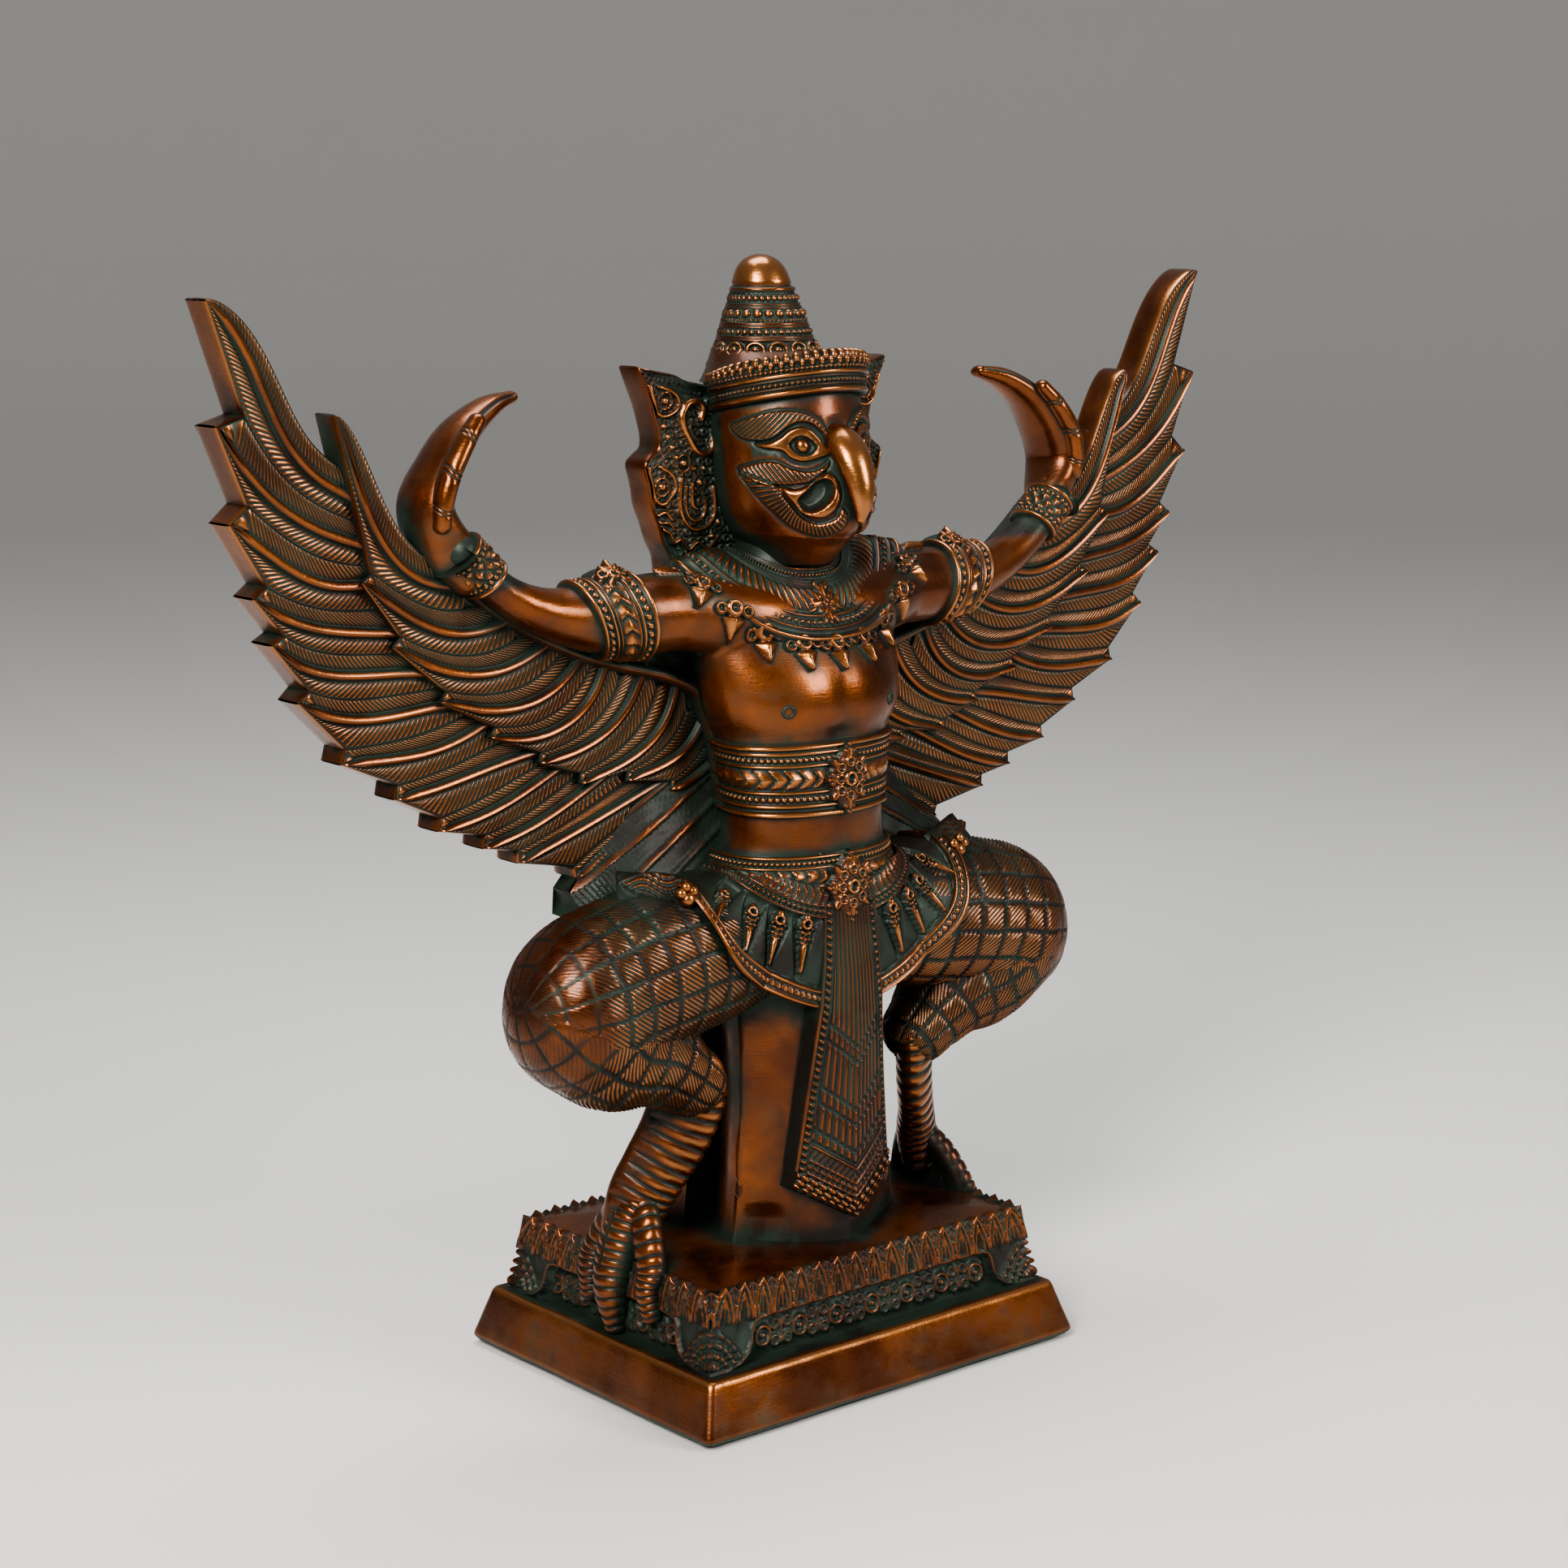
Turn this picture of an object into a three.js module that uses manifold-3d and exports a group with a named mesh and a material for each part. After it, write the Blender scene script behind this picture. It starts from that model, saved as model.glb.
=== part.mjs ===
// A garuda crouching with spread wings, cast in brass in one piece with its plinth.
// Millimetres, Z up. The origin is the middle of the underside, and the figure faces -Y.

import * as THREE from "three";
import { mergeVertices } from "three/addons/utils/BufferGeometryUtils.js";
import Module from "manifold-3d";

// Driving sizes. Each of these can be set by itself.
const figureHeight = 316; // from the tier's edge to the top of the crown
const slabLength = 158; // the plain slab that the plinth stands on
const slabWidth = 127;
const slabHeight = 20;
const slabBatter = 5.8; // how far each side leans in on the way up
const slabEdge = 3.2; // the rounded lower edge, in and up
const tierLength = 137; // the carved tier, measured at its foot
const tierWidth = 103;
const tierHeight = 24;
const tierBatter = 3.4;
const tierDome = 4; // rise of the smooth top towards its middle
const petalPitch = 11.6; // the leaf fringe along the tier's top edge
const petalHeight = 11.5;
const petalRise = 2.6;
const cornerFoot = 21; // width of each corner foot on a face of the tier
const recessDepth = 2.6; // the sunk panel between two corner feet
const recessHeight = 13;
const rosetteRadius = 3.6;
const rosettePitch = 15.5;
const rosetteRise = 1.5;
const wingThickness = 12.5;
const featherCount = 12; // long feathers in a wing
const covertCount = 9; // shorter feathers that lie over their roots
const shaftRise = 1.5; // ridge of a feather's shaft over its edges
const covertLap = 3; // how far the short feathers stand in front of the long ones
const earThickness = 11;
const diademPetals = 9; // leaves that stand round the brow
const pendantCount = 9; // drops that hang from the collar
const skirtDropCount = 3; // drops on each half of the skirt
const shinRings = 4;
const toeRings = 2;
const beltRise = 1.3; // how far belts and bands stand off the body
const meetGap = 1e-4; // vertices closer than this are one
const seamTolerance = 0.25; // slivers thinner than this are left out where pieces join

// The figure's pose and proportions are counted in parts of its height. It stands 316 parts
// above the tier, and heights are counted from a level 44 parts below the tier's edge.
const figureParts = 316;
const levelParts = 44;
const part = figureHeight / figureParts;
const plinthTop = slabHeight + tierHeight;

const wasm = await Module();
wasm.setup();

function at(x, y, z) {
  return new THREE.Vector3(x * part, y * part, plinthTop + (z - levelParts) * part);
}

// A closed surface from points and triangles, turned so that its faces point out.
function closed(points, faces) {
  let volume = 0;
  for (let f = 0; f < faces.length; f += 3) {
    const [a, b, c] = [points[faces[f]], points[faces[f + 1]], points[faces[f + 2]]];
    volume += a.dot(b.clone().cross(c));
  }
  if (volume < 0) {
    for (let f = 0; f < faces.length; f += 3) {
      [faces[f], faces[f + 1]] = [faces[f + 1], faces[f]];
    }
  }
  const geometry = new THREE.BufferGeometry();
  geometry.setAttribute("position", new THREE.Float32BufferAttribute(points.flatMap((p) => [p.x, p.y, p.z]), 3));
  geometry.setIndex(faces);
  return geometry;
}

function middle(ring) {
  return ring.reduce((sum, p) => sum.add(p), new THREE.Vector3()).divideScalar(ring.length);
}

// A skin stretched over rings with as many points each, closed by a fan at either end.
function loft(rings, startTip = middle(rings[0]), endTip = middle(rings.at(-1))) {
  const sides = rings[0].length;
  const points = [startTip, ...rings.flat(), endTip];
  const faces = [];
  const lastRing = 1 + (rings.length - 1) * sides;
  for (let i = 0; i < sides; i++) {
    const j = (i + 1) % sides;
    faces.push(0, 1 + j, 1 + i, points.length - 1, lastRing + i, lastRing + j);
    for (let a = 1; a < lastRing; a += sides) {
      const b = a + sides;
      faces.push(a + i, a + j, b + j, a + i, b + j, b + i);
    }
  }
  return closed(points, faces);
}

// A plate with a front and a back surface, each a grid of points with the same rows and columns.
function plate(front, back) {
  const rows = front.length;
  const columns = front[0].length;
  const points = [...front.flat(), ...back.flat()];
  const behind = rows * columns;
  const faces = [];
  const quad = (a, b, c, d) => faces.push(a, b, c, a, c, d);
  for (let r = 0; r < rows - 1; r++) {
    for (let c = 0; c < columns - 1; c++) {
      const a = r * columns + c;
      quad(a, a + 1, a + columns + 1, a + columns);
      quad(behind + a, behind + a + columns, behind + a + columns + 1, behind + a + 1);
    }
  }
  const rim = [];
  for (let c = 0; c < columns - 1; c++) rim.push(c);
  for (let r = 0; r < rows - 1; r++) rim.push(r * columns + columns - 1);
  for (let c = columns - 1; c > 0; c--) rim.push((rows - 1) * columns + c);
  for (let r = rows - 1; r > 0; r--) rim.push(r * columns);
  rim.forEach((a, i) => {
    const b = rim[(i + 1) % rim.length];
    quad(b, a, behind + a, behind + b);
  });
  return closed(points, faces);
}

// A relief: a grid of points in front, walls round its rim, and a flat back at y = `back`.
function relief(front, back) {
  const rows = front.length;
  const columns = front[0].length;
  const rim = [];
  for (let c = 0; c < columns - 1; c++) rim.push(c);
  for (let r = 0; r < rows - 1; r++) rim.push(r * columns + columns - 1);
  for (let c = columns - 1; c > 0; c--) rim.push((rows - 1) * columns + c);
  for (let r = rows - 1; r > 0; r--) rim.push(r * columns);
  const points = front.flat();
  const behind = points.length;
  const faces = [];
  for (let r = 0; r < rows - 1; r++) {
    for (let c = 0; c < columns - 1; c++) {
      const a = r * columns + c;
      faces.push(a, a + 1, a + columns + 1, a, a + columns + 1, a + columns);
    }
  }
  const outline = rim.map((a) => new THREE.Vector2(points[a].x, points[a].z));
  points.push(...outline.map((p) => new THREE.Vector3(p.x, back, p.y)));
  rim.forEach((a, i) => {
    const j = (i + 1) % rim.length;
    faces.push(rim[j], a, behind + i, rim[j], behind + i, behind + j);
  });
  const turnsLeft = THREE.ShapeUtils.area(outline) > 0;
  for (const [a, b, c] of THREE.ShapeUtils.triangulateShape(outline, [])) {
    faces.push(...(turnsLeft ? [a, c, b] : [a, b, c]).map((i) => behind + i));
  }
  return closed(points, faces);
}

// The value at share t along a list of values, eased from one to the next.
function along(list, t) {
  if (!Array.isArray(list)) return list;
  return new THREE.SplineCurve(list.map((value, i) => new THREE.Vector2(i, value))).getPoint(t).y;
}

const evenly = (steps) => Array.from({ length: steps + 1 }, (_, s) => s / steps);

// A limb of oval section along a smooth line. `wide` is its half-width across `up`, and `deep` its
// half-depth along `up`. `swell` lets rings or folds stand out of it, and rounded ends add a dome.
function limb({ path, wide, deep = wide, up = new THREE.Vector3(0, -1, 0), steps = 8, sides = 10,
  domeStart = false, domeEnd = false, swell = () => 1, shares = evenly(steps) }) {
  const curve = new THREE.CatmullRomCurve3(path, false, "catmullrom", 0.5);
  const rings = [];
  const addRing = (t, shrink, shift) => {
    const heading = curve.getTangent(t);
    const across = heading.clone().cross(up).normalize();
    const out = across.clone().cross(heading).normalize();
    const halfWide = along(wide, t) * part * shrink * swell(t);
    const halfDeep = along(deep, t) * part * shrink * swell(t);
    const centre = curve.getPoint(t).addScaledVector(heading, shift);
    const ring = [];
    for (let i = 0; i < sides; i++) {
      const turn = (i / sides) * Math.PI * 2;
      ring.push(centre.clone().addScaledVector(across, Math.cos(turn) * halfWide)
        .addScaledVector(out, Math.sin(turn) * halfDeep));
    }
    rings.push(ring);
  };
  const endRadius = (t) => Math.min(along(wide, t), along(deep, t)) * part;
  const domeTurn = Math.PI / 3.4;
  if (domeStart) addRing(0, Math.cos(domeTurn), -endRadius(0) * Math.sin(domeTurn));
  for (const t of shares) addRing(t, 1, 0);
  if (domeEnd) addRing(1, Math.cos(domeTurn), endRadius(1) * Math.sin(domeTurn));
  const startTip = curve.getPoint(0).addScaledVector(curve.getTangent(0), domeStart ? -endRadius(0) : 0);
  const endTip = curve.getPoint(1).addScaledVector(curve.getTangent(1), domeEnd ? endRadius(1) : 0);
  return loft(rings, startTip, endTip);
}

// A level ring of an upright body: half-width, and the front, widest and back places in Y.
function bodyRing({ z, half, front, mid, back }, sides, grow = 0) {
  const ring = [];
  for (let i = 0; i < sides; i++) {
    const turn = (i / sides) * Math.PI * 2;
    const reach = Math.cos(turn) > 0 ? mid - front + grow : back - mid + grow;
    ring.push(at((half + grow) * Math.sin(turn), mid - reach * Math.cos(turn), z));
  }
  return ring;
}

// The same geometry on the figure's other side.
function mirrored(geometry) {
  const other = geometry.clone().scale(-1, 1, 1);
  const order = Array.from(other.index.array);
  for (let f = 0; f < order.length; f += 3) {
    [order[f], order[f + 1]] = [order[f + 1], order[f]];
  }
  other.setIndex(order);
  return other;
}

function bothSides(geometries) {
  return [...geometries, ...geometries.map(mirrored)];
}

// A small raised disc, drop or leaf: a ring just under the surface, with a peak that stands out along `out`.
function boss({ centre, out, along: lengthways, halfLength, halfWidth, rise, sides = 6, sunk = 2, point = 1 }) {
  const n = out.clone().normalize();
  const v = lengthways.clone().addScaledVector(n, -lengthways.dot(n)).normalize();
  const u = v.clone().cross(n);
  const rimDepth = rise * 0.15;
  const rim = [];
  for (let i = 0; i < sides; i++) {
    const turn = (i / sides) * Math.PI * 2;
    const taper = Math.cos(turn) > 0 ? point : 1;
    rim.push(centre.clone().addScaledVector(n, -rimDepth)
      .addScaledVector(v, Math.cos(turn) * halfLength * taper)
      .addScaledVector(u, Math.sin(turn) * halfWidth));
  }
  return loft([rim], centre.clone().addScaledVector(n, -sunk), centre.clone().addScaledVector(n, rise));
}

// Plinth.

function rectangleRing(length, width, z, corner) {
  const ring = [];
  const x = length / 2;
  const y = width / 2;
  for (const [sx, sy] of [[-1, -1], [1, -1], [1, 1], [-1, 1]]) {
    const first = sx * sy > 0 ? [0, corner] : [corner, 0];
    const second = sx * sy > 0 ? [corner, 0] : [0, corner];
    ring.push(new THREE.Vector3(sx * (x - first[0]), sy * (y - first[1]), z));
    ring.push(new THREE.Vector3(sx * (x - second[0]), sy * (y - second[1]), z));
  }
  return ring;
}

function slab() {
  const corner = 1.6;
  return loft([
    rectangleRing(slabLength - slabEdge * 2, slabWidth - slabEdge * 2, 0, corner),
    rectangleRing(slabLength, slabWidth, slabEdge, corner),
    rectangleRing(slabLength - slabBatter * 2, slabWidth - slabBatter * 2, slabHeight, corner),
  ]);
}

// How far the tier's side stands in from its foot at height z above the slab.
const tierLean = (z) => (tierBatter * z) / tierHeight;

function tier() {
  const corner = 1.2;
  const sunk = 2;
  const layer = (z) => rectangleRing(tierLength - tierLean(z) * 2, tierWidth - tierLean(z) * 2, slabHeight + z, corner);
  const domeShare = 0.6;
  const crown = rectangleRing((tierLength - tierBatter * 2) * domeShare, (tierWidth - tierBatter * 2) * domeShare,
    plinthTop + tierDome * 0.8, corner);
  return loft([layer(-sunk), layer(0), layer(tierHeight), crown], new THREE.Vector3(0, 0, slabHeight - sunk),
    new THREE.Vector3(0, 0, plinthTop + tierDome));
}

// The four faces of the tier: where each starts, which way it runs and which way it looks.
function tierFaces() {
  return [0, 1, 2, 3].map((quarter) => {
    const turn = (quarter * Math.PI) / 2;
    const out = new THREE.Vector3(Math.sin(turn), -Math.cos(turn), 0);
    const run = new THREE.Vector3(Math.cos(turn), Math.sin(turn), 0);
    const isLong = quarter % 2 === 0;
    const length = isLong ? tierLength : tierWidth;
    const reach = (isLong ? tierWidth : tierLength) / 2;
    const point = (s, z, off = 0) => out.clone().multiplyScalar(reach - tierLean(z) + off)
      .addScaledVector(run, s).setZ(slabHeight + z);
    return { out, run, length, point };
  });
}

// The sunk panel of a face, wider at its foot, and cut into the tier.
function recess(face) {
  const halfTop = face.length / 2 - cornerFoot;
  const halfFoot = halfTop + 3;
  const grow = 4;
  const front = [0, recessHeight].map((z) => [-1, 1].map((s) => face.point(s * (z === 0 ? halfFoot : halfTop), z, grow)));
  const back = [0, recessHeight].map((z) => [-1, 1].map((s) => face.point(s * (z === 0 ? halfFoot : halfTop), z, -recessDepth)));
  return plate(front, back);
}

function rosettes(face) {
  const room = face.length / 2 - cornerFoot - rosetteRadius;
  const count = Math.max(1, Math.floor((room * 2) / rosettePitch));
  const height = recessHeight * 0.5;
  return Array.from({ length: count }, (_, i) => boss({
    centre: face.point((i - (count - 1) / 2) * rosettePitch, height, -recessDepth),
    out: face.out, along: face.run, halfLength: rosetteRadius, halfWidth: rosetteRadius, rise: rosetteRise, sides: 5,
  }));
}

// Leaves stand side by side along the top edge, and their tips rise above it.
function leafFringe(face) {
  const room = face.length - tierBatter * 2 - 2;
  const count = Math.max(2, Math.round(room / petalPitch));
  const lift = 0.9;
  return Array.from({ length: count }, (_, i) => boss({
    centre: face.point(((i + 0.5) / count - 0.5) * room, tierHeight - petalHeight / 2 + lift),
    out: face.out, along: new THREE.Vector3(0, 0, 1), halfLength: petalHeight / 2,
    halfWidth: petalPitch * 0.48, rise: petalRise, sides: 4,
  }));
}

function cornerLeaves(face) {
  const height = tierHeight - petalHeight;
  return [-1, 1].map((s) => boss({
    centre: face.point(s * (face.length / 2 - cornerFoot * 0.48), height * 0.44),
    out: face.out, along: new THREE.Vector3(0, 0, 1), halfLength: height * 0.46,
    halfWidth: cornerFoot * 0.3, rise: petalRise * 1.2, sides: 6,
  }));
}

// Body.

const trunkStations = [
  { z: 138, half: 30, front: -32, mid: -10, back: 16 },
  { z: 152, half: 38, front: -35, mid: -11, back: 19 },
  { z: 165, half: 34, front: -36, mid: -13, back: 18 },
  { z: 174, half: 29.5, front: -35, mid: -16, back: 16.5 },
  { z: 181, half: 27.5, front: -35, mid: -18, back: 15.5 },
  { z: 196, half: 28, front: -34.8, mid: -17.5, back: 15.5 },
  { z: 209, half: 30.5, front: -34.8, mid: -17, back: 17 },
  { z: 221, half: 35.5, front: -36, mid: -16, back: 19 },
  { z: 232, half: 37, front: -34.5, mid: -14, back: 20 },
  { z: 242, half: 37, front: -29.5, mid: -12, back: 20 },
  { z: 252, half: 34, front: -24, mid: -9, back: 18 },
  { z: 259, half: 27, front: -20.5, mid: -7.5, back: 15 },
  { z: 265, half: 16.5, front: -18.6, mid: -6, back: 11.5 },
  { z: 282, half: 15.5, front: -18, mid: -6, back: 11 },
];
const trunkSides = 12;

// The trunk's station at a height between the listed ones.
function trunkAt(z) {
  const above = trunkStations.findIndex((station) => station.z >= z);
  const high = trunkStations[Math.max(above, 1)];
  const low = trunkStations[Math.max(above, 1) - 1];
  const share = (z - low.z) / (high.z - low.z);
  const mix = (key) => low[key] + (high[key] - low[key]) * share;
  return { z, half: mix("half"), front: mix("front"), mid: mix("mid"), back: mix("back") };
}

// Belts are raised rings of the trunk itself: [lower edge, upper edge] of each.
const waistBelt = [185.6, 209.3];
const hipBelt = [160, 174];

function trunk() {
  const edge = 2.4;
  const beltRings = [waistBelt, hipBelt].flatMap(([low, high]) => [[low - 0.4, 0], [low, beltRise],
    ...(high - low > edge * 8 ? [[low + edge, beltRise * 0.5], [high - edge, beltRise * 0.5]] : []),
    [high, beltRise], [high + 0.4, 0]]);
  const isBare = (z) => [waistBelt, hipBelt].every(([low, high]) => z < low - 1 || z > high + 1);
  const bareRings = trunkStations.filter((station) => isBare(station.z)).map((station) => [station.z, 0]);
  const rings = [...bareRings, ...beltRings].sort((a, b) => a[0] - b[0]);
  return loft(rings.map(([z, grow]) => bodyRing(trunkAt(z), trunkSides, grow)));
}

const frontward = new THREE.Vector3(0, -1, 0);
const upward = new THREE.Vector3(0, 0, 1);

// A four-pointed buckle on the front of the body.
function buckle(z, halfHeight, halfWidth) {
  const front = trunkAt(z).front;
  return boss({ centre: at(0, front - beltRise, z), out: frontward, along: upward,
    halfLength: halfHeight * part, halfWidth: halfWidth * part, rise: 3 * part, sides: 8, sunk: 3 * part });
}

// The collar's lower edge: low in front, over the shoulders and round the back.
function collarPoint(turn, share) {
  const front = (1 + Math.cos(turn)) / 2;
  const low = 254 - 15 * front ** 1.4;
  const neck = 266;
  const z = neck + (low - neck) * share;
  const station = trunkAt(z);
  const reach = Math.cos(turn) > 0 ? station.mid - station.front : station.back - station.mid;
  const rise = beltRise * (1 - 0.4 * share);
  return at((station.half + rise) * Math.sin(turn), station.mid - (reach + rise) * Math.cos(turn), z);
}

function collar() {
  const shares = [0, 0.3, 0.55, 0.8, 1];
  const rings = shares.map((share) => Array.from({ length: trunkSides },
    (_, i) => collarPoint((i / trunkSides) * Math.PI * 2, share)));
  const inside = rings.at(-1).map((p) => p.clone().lerp(at(0, -6, 250), 0.12));
  return loft([...rings, inside], at(0, -6, 268), at(0, -6, 245));
}

function collarPendants() {
  const spread = Math.PI * 1.04;
  return Array.from({ length: pendantCount }, (_, i) => {
    const turn = (i / (pendantCount - 1) - 0.5) * spread;
    const top = collarPoint(turn, 0.95);
    const out = new THREE.Vector3(Math.sin(turn), -Math.cos(turn) * 1.2, 0.25);
    return boss({ centre: top.clone().add(new THREE.Vector3(0, 0, -4 * part)), out, along: upward.clone().negate(),
      halfLength: 6.5 * part, halfWidth: 3.3 * part, rise: 2.4 * part, sides: 5, sunk: 3 * part });
  });
}

// Head.

const headStations = [
  { z: 269, half: 13, front: -27, mid: -8, back: 8 },
  { z: 274, half: 19, front: -33, mid: -8, back: 12 },
  { z: 284, half: 23, front: -34.8, mid: -8, back: 16.5 },
  { z: 300, half: 24.4, front: -33.8, mid: -7, back: 19 },
  { z: 312, half: 24.4, front: -31, mid: -6.4, back: 18.6 },
  { z: 320, half: 21, front: -28.6, mid: -5, back: 14 },
];

function headAt(x, z) {
  const above = headStations.findIndex((station) => station.z >= z);
  const high = headStations[Math.max(above, 1)];
  const low = headStations[Math.max(above, 1) - 1];
  const share = (z - low.z) / (high.z - low.z);
  const mix = (key) => low[key] + (high[key] - low[key]) * share;
  const across = Math.min(Math.abs(x) / mix("half"), 1);
  return mix("mid") - (mix("mid") - mix("front")) * Math.sqrt(1 - across ** 2);
}

// A raised cord of the face that runs over the head's surface through [x, z] places.
function faceBand(places, wide, deep, steps = 3) {
  const path = places.map(([x, z]) => at(x, headAt(x, z), z));
  const turned = places.reduce((sum, [x]) => sum + x, 0) / places.length / 24;
  return limb({ path, wide, deep, up: new THREE.Vector3(turned, -1, 0), steps, sides: 4 });
}

function head() {
  const skull = loft(headStations.map((station) => bodyRing(station, 10)));
  const beak = limb({
    path: [at(0, -26, 305), at(0, -33, 303), at(0, -38.6, 298.5), at(0, -42, 291.5), at(0, -43.2, 284.5), at(0, -42.6, 279)],
    wide: [5, 6.2, 6, 4.6, 3.4, 2], deep: [4, 5, 4.6, 4, 3, 1.8],
    up: new THREE.Vector3(0, -1, 0.6), steps: 5, sides: 6, domeEnd: true,
  });
  const jaw = limb({ path: [at(0, -24, 279), at(0, -33, 279), at(0, -38.5, 281)], wide: [13, 9.4, 5],
    deep: [8, 6, 3.6], up: upward, steps: 2, sides: 6, domeEnd: true });
  const perSide = [
    faceBand([[4, 303], [9.5, 309.5], [16.5, 310.5], [23, 306]], [1.6, 3.4, 3.4, 1.2], [1.8, 2.8, 2.6, 1.2]),
    faceBand([[7.5, 295.5], [13.5, 293], [19, 294.5], [23, 295]], [1.4, 2.8, 3, 1.2], [1.6, 2.4, 2.2, 1], 2),
    faceBand([[21, 289], [17, 281.5], [11, 276.8], [4, 279]], [2.4, 3.2, 3.2, 2], [1.8, 2.2, 2.4, 1.8]),
    boss({ centre: at(12.2, headAt(12.2, 301.4), 301.4), out: new THREE.Vector3(0.45, -1, 0.05),
      along: new THREE.Vector3(1, 0.45, 0.08), halfLength: 6.4 * part, halfWidth: 4 * part, rise: 2 * part, sides: 6 }),
    boss({ centre: at(12.2, headAt(12.2, 301.4) - 1.4, 301.4), out: new THREE.Vector3(0.45, -1, 0.05), along: upward,
      halfLength: 2.7 * part, halfWidth: 2.7 * part, rise: 1.8 * part, sides: 6 }),
  ];
  return [skull, beak, jaw, ...bothSides(perSide)];
}

// Crown.

// A ring of the diadem: it rises towards the brow. `grow` is how far it stands off the head.
function diademRing(lift, grow, sides) {
  const axis = -6.2;
  const radius = 24.4;
  const sideLevel = 313.4;
  return Array.from({ length: sides }, (_, i) => {
    const turn = (i / sides) * Math.PI * 2;
    const front = Math.max(Math.cos(turn), -0.4);
    return at((radius + grow) * Math.sin(turn), axis - (radius + grow) * Math.cos(turn), sideLevel + lift + 5.5 * front);
  });
}

function coneRing(z, radius, axis, sides) {
  return Array.from({ length: sides }, (_, i) => {
    const turn = (i / sides) * Math.PI * 2;
    return at(radius * Math.sin(turn), axis - radius * Math.cos(turn), z);
  });
}

function crown() {
  const sides = 12;
  const axisAt = (z) => 3.4 + (2.8 * (z - 325)) / 35;
  const coneStations = [[326, 18.4], [331, 15.8], [332.2, 16.6], [333.8, 14.8], [340, 14], [341, 12.8],
    [350, 10], [356, 7.6], [359, 3.8]];
  const shell = loft([
    diademRing(0, -4, sides), diademRing(0.4, 1.4, sides), diademRing(2.6, 0.3, sides),
    diademRing(5.2, 1.7, sides), diademRing(6.6, 0.4, sides), diademRing(11.4, 0, sides),
    ...coneStations.map(([z, radius]) => coneRing(z, radius, axisAt(z), sides)),
  ], at(0, -6, 314), at(0, axisAt(360), 360));
  const petals = Array.from({ length: diademPetals }, (_, i) => {
    const turn = (i / (diademPetals - 1) - 0.5) * Math.PI * 1.1;
    const out = new THREE.Vector3(Math.sin(turn), -Math.cos(turn), 0.2);
    const foot = at(24.6 * Math.sin(turn), -6.2 - 24.6 * Math.cos(turn), 313.4 + 8.9 + 5.5 * Math.cos(turn));
    return boss({ centre: foot, out, along: upward, halfLength: 3.8 * part, halfWidth: 3.6 * part,
      rise: 2 * part, sides: 5 });
  });
  return [shell, ...petals];
}

// The flame-edged plate beside each ear, with the ear and its scrolls raised on the front.
function earPlate() {
  const outline = [[25, 318.5], [33, 320], [42, 323], [51.5, 327.2], [49.6, 318], [46.4, 309], [43.6, 300.5],
    [48.4, 296.4], [48.4, 287], [46.2, 279], [43, 271], [40, 263], [37, 255], [12, 254], [12, 280], [14, 300]];
  const front = 3;
  const lean = 0.9;
  const ring = (y, inset) => {
    const centre = [34, 292];
    return outline.map(([x, z]) => at(x + Math.sign(centre[0] - x) * inset, y, z + Math.sign(centre[1] - z) * inset));
  };
  const body = loft([ring(front, lean), ring(front + 1, 0), ring(front + earThickness, 0)],
    at(33, front, 290), at(33, front + earThickness, 290));
  const raised = (places, wide) => limb({ path: places.map(([x, z]) => at(x, front, z)), wide, deep: 2.1, steps: 2,
    sides: 3 });
  const knob = (x, z, radius) => boss({ centre: at(x, front, z), out: frontward, along: upward,
    halfLength: radius * part, halfWidth: radius * part, rise: 2.2 * part, sides: 6 });
  return [
    body,
    raised([[27, 312], [33, 313.5], [35.5, 307], [33, 300], [28.5, 296.5]], [1.4, 1.8, 1.8, 1.8, 1.6]),
    raised([[46, 322], [43.5, 314], [40, 308], [38.5, 300]], [0.9, 1.5, 1.6, 1.2]),
    raised([[45.5, 292], [42, 284], [40.5, 276], [35, 268.5], [27, 267.5]], [1.1, 1.5, 1.6, 1.8, 1.3]),
    raised([[28, 290], [25, 281], [29, 273.5], [35, 277], [34, 286], [38, 292]], 1.3),
    knob(41, 315.5, 2.8), knob(43, 290, 2.6), knob(31, 281, 2.6), knob(34, 293.8, 2.2),
  ];
}

// Arms.

// The armlet and the bracelet are raised rings of the arm itself: [start, end, rise] in shares of the arm.
const armBands = [[0.34, 0.53, 1.15], [0.86, 0.99, 1.2]];

function arm() {
  const bandEdges = armBands.flatMap(([start, end]) => [start - 0.01, start, end, end + 0.01]);
  const swell = (t) => {
    const band = armBands.find(([start, end]) => t > start - 0.005 && t < end + 0.005);
    return band ? band[2] : 1;
  };
  const limbShares = [0, 0.17, 0.6, 0.7, 0.8, ...bandEdges].sort((a, b) => a - b);
  const whole = limb({
    path: [at(28, -7, 250), at(46, -7, 251.5), at(62, -6.5, 251.5), at(78, -5, 252), at(94, -4, 255), at(109, -3, 262.5),
      at(123, -2, 275.5)],
    wide: [12, 12.5, 12.2, 10.6, 7.6, 6, 6], deep: [12, 13, 12.5, 10.8, 9, 7.6, 7.6], shares: limbShares, sides: 8, swell,
  });
  const flame = boss({ centre: at(70, -6, 264.5), out: upward, along: new THREE.Vector3(1, 0, 0),
    halfLength: 7 * part, halfWidth: 6 * part, rise: 3 * part, sides: 6, sunk: 3 * part });
  return [whole, flame];
}

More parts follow.
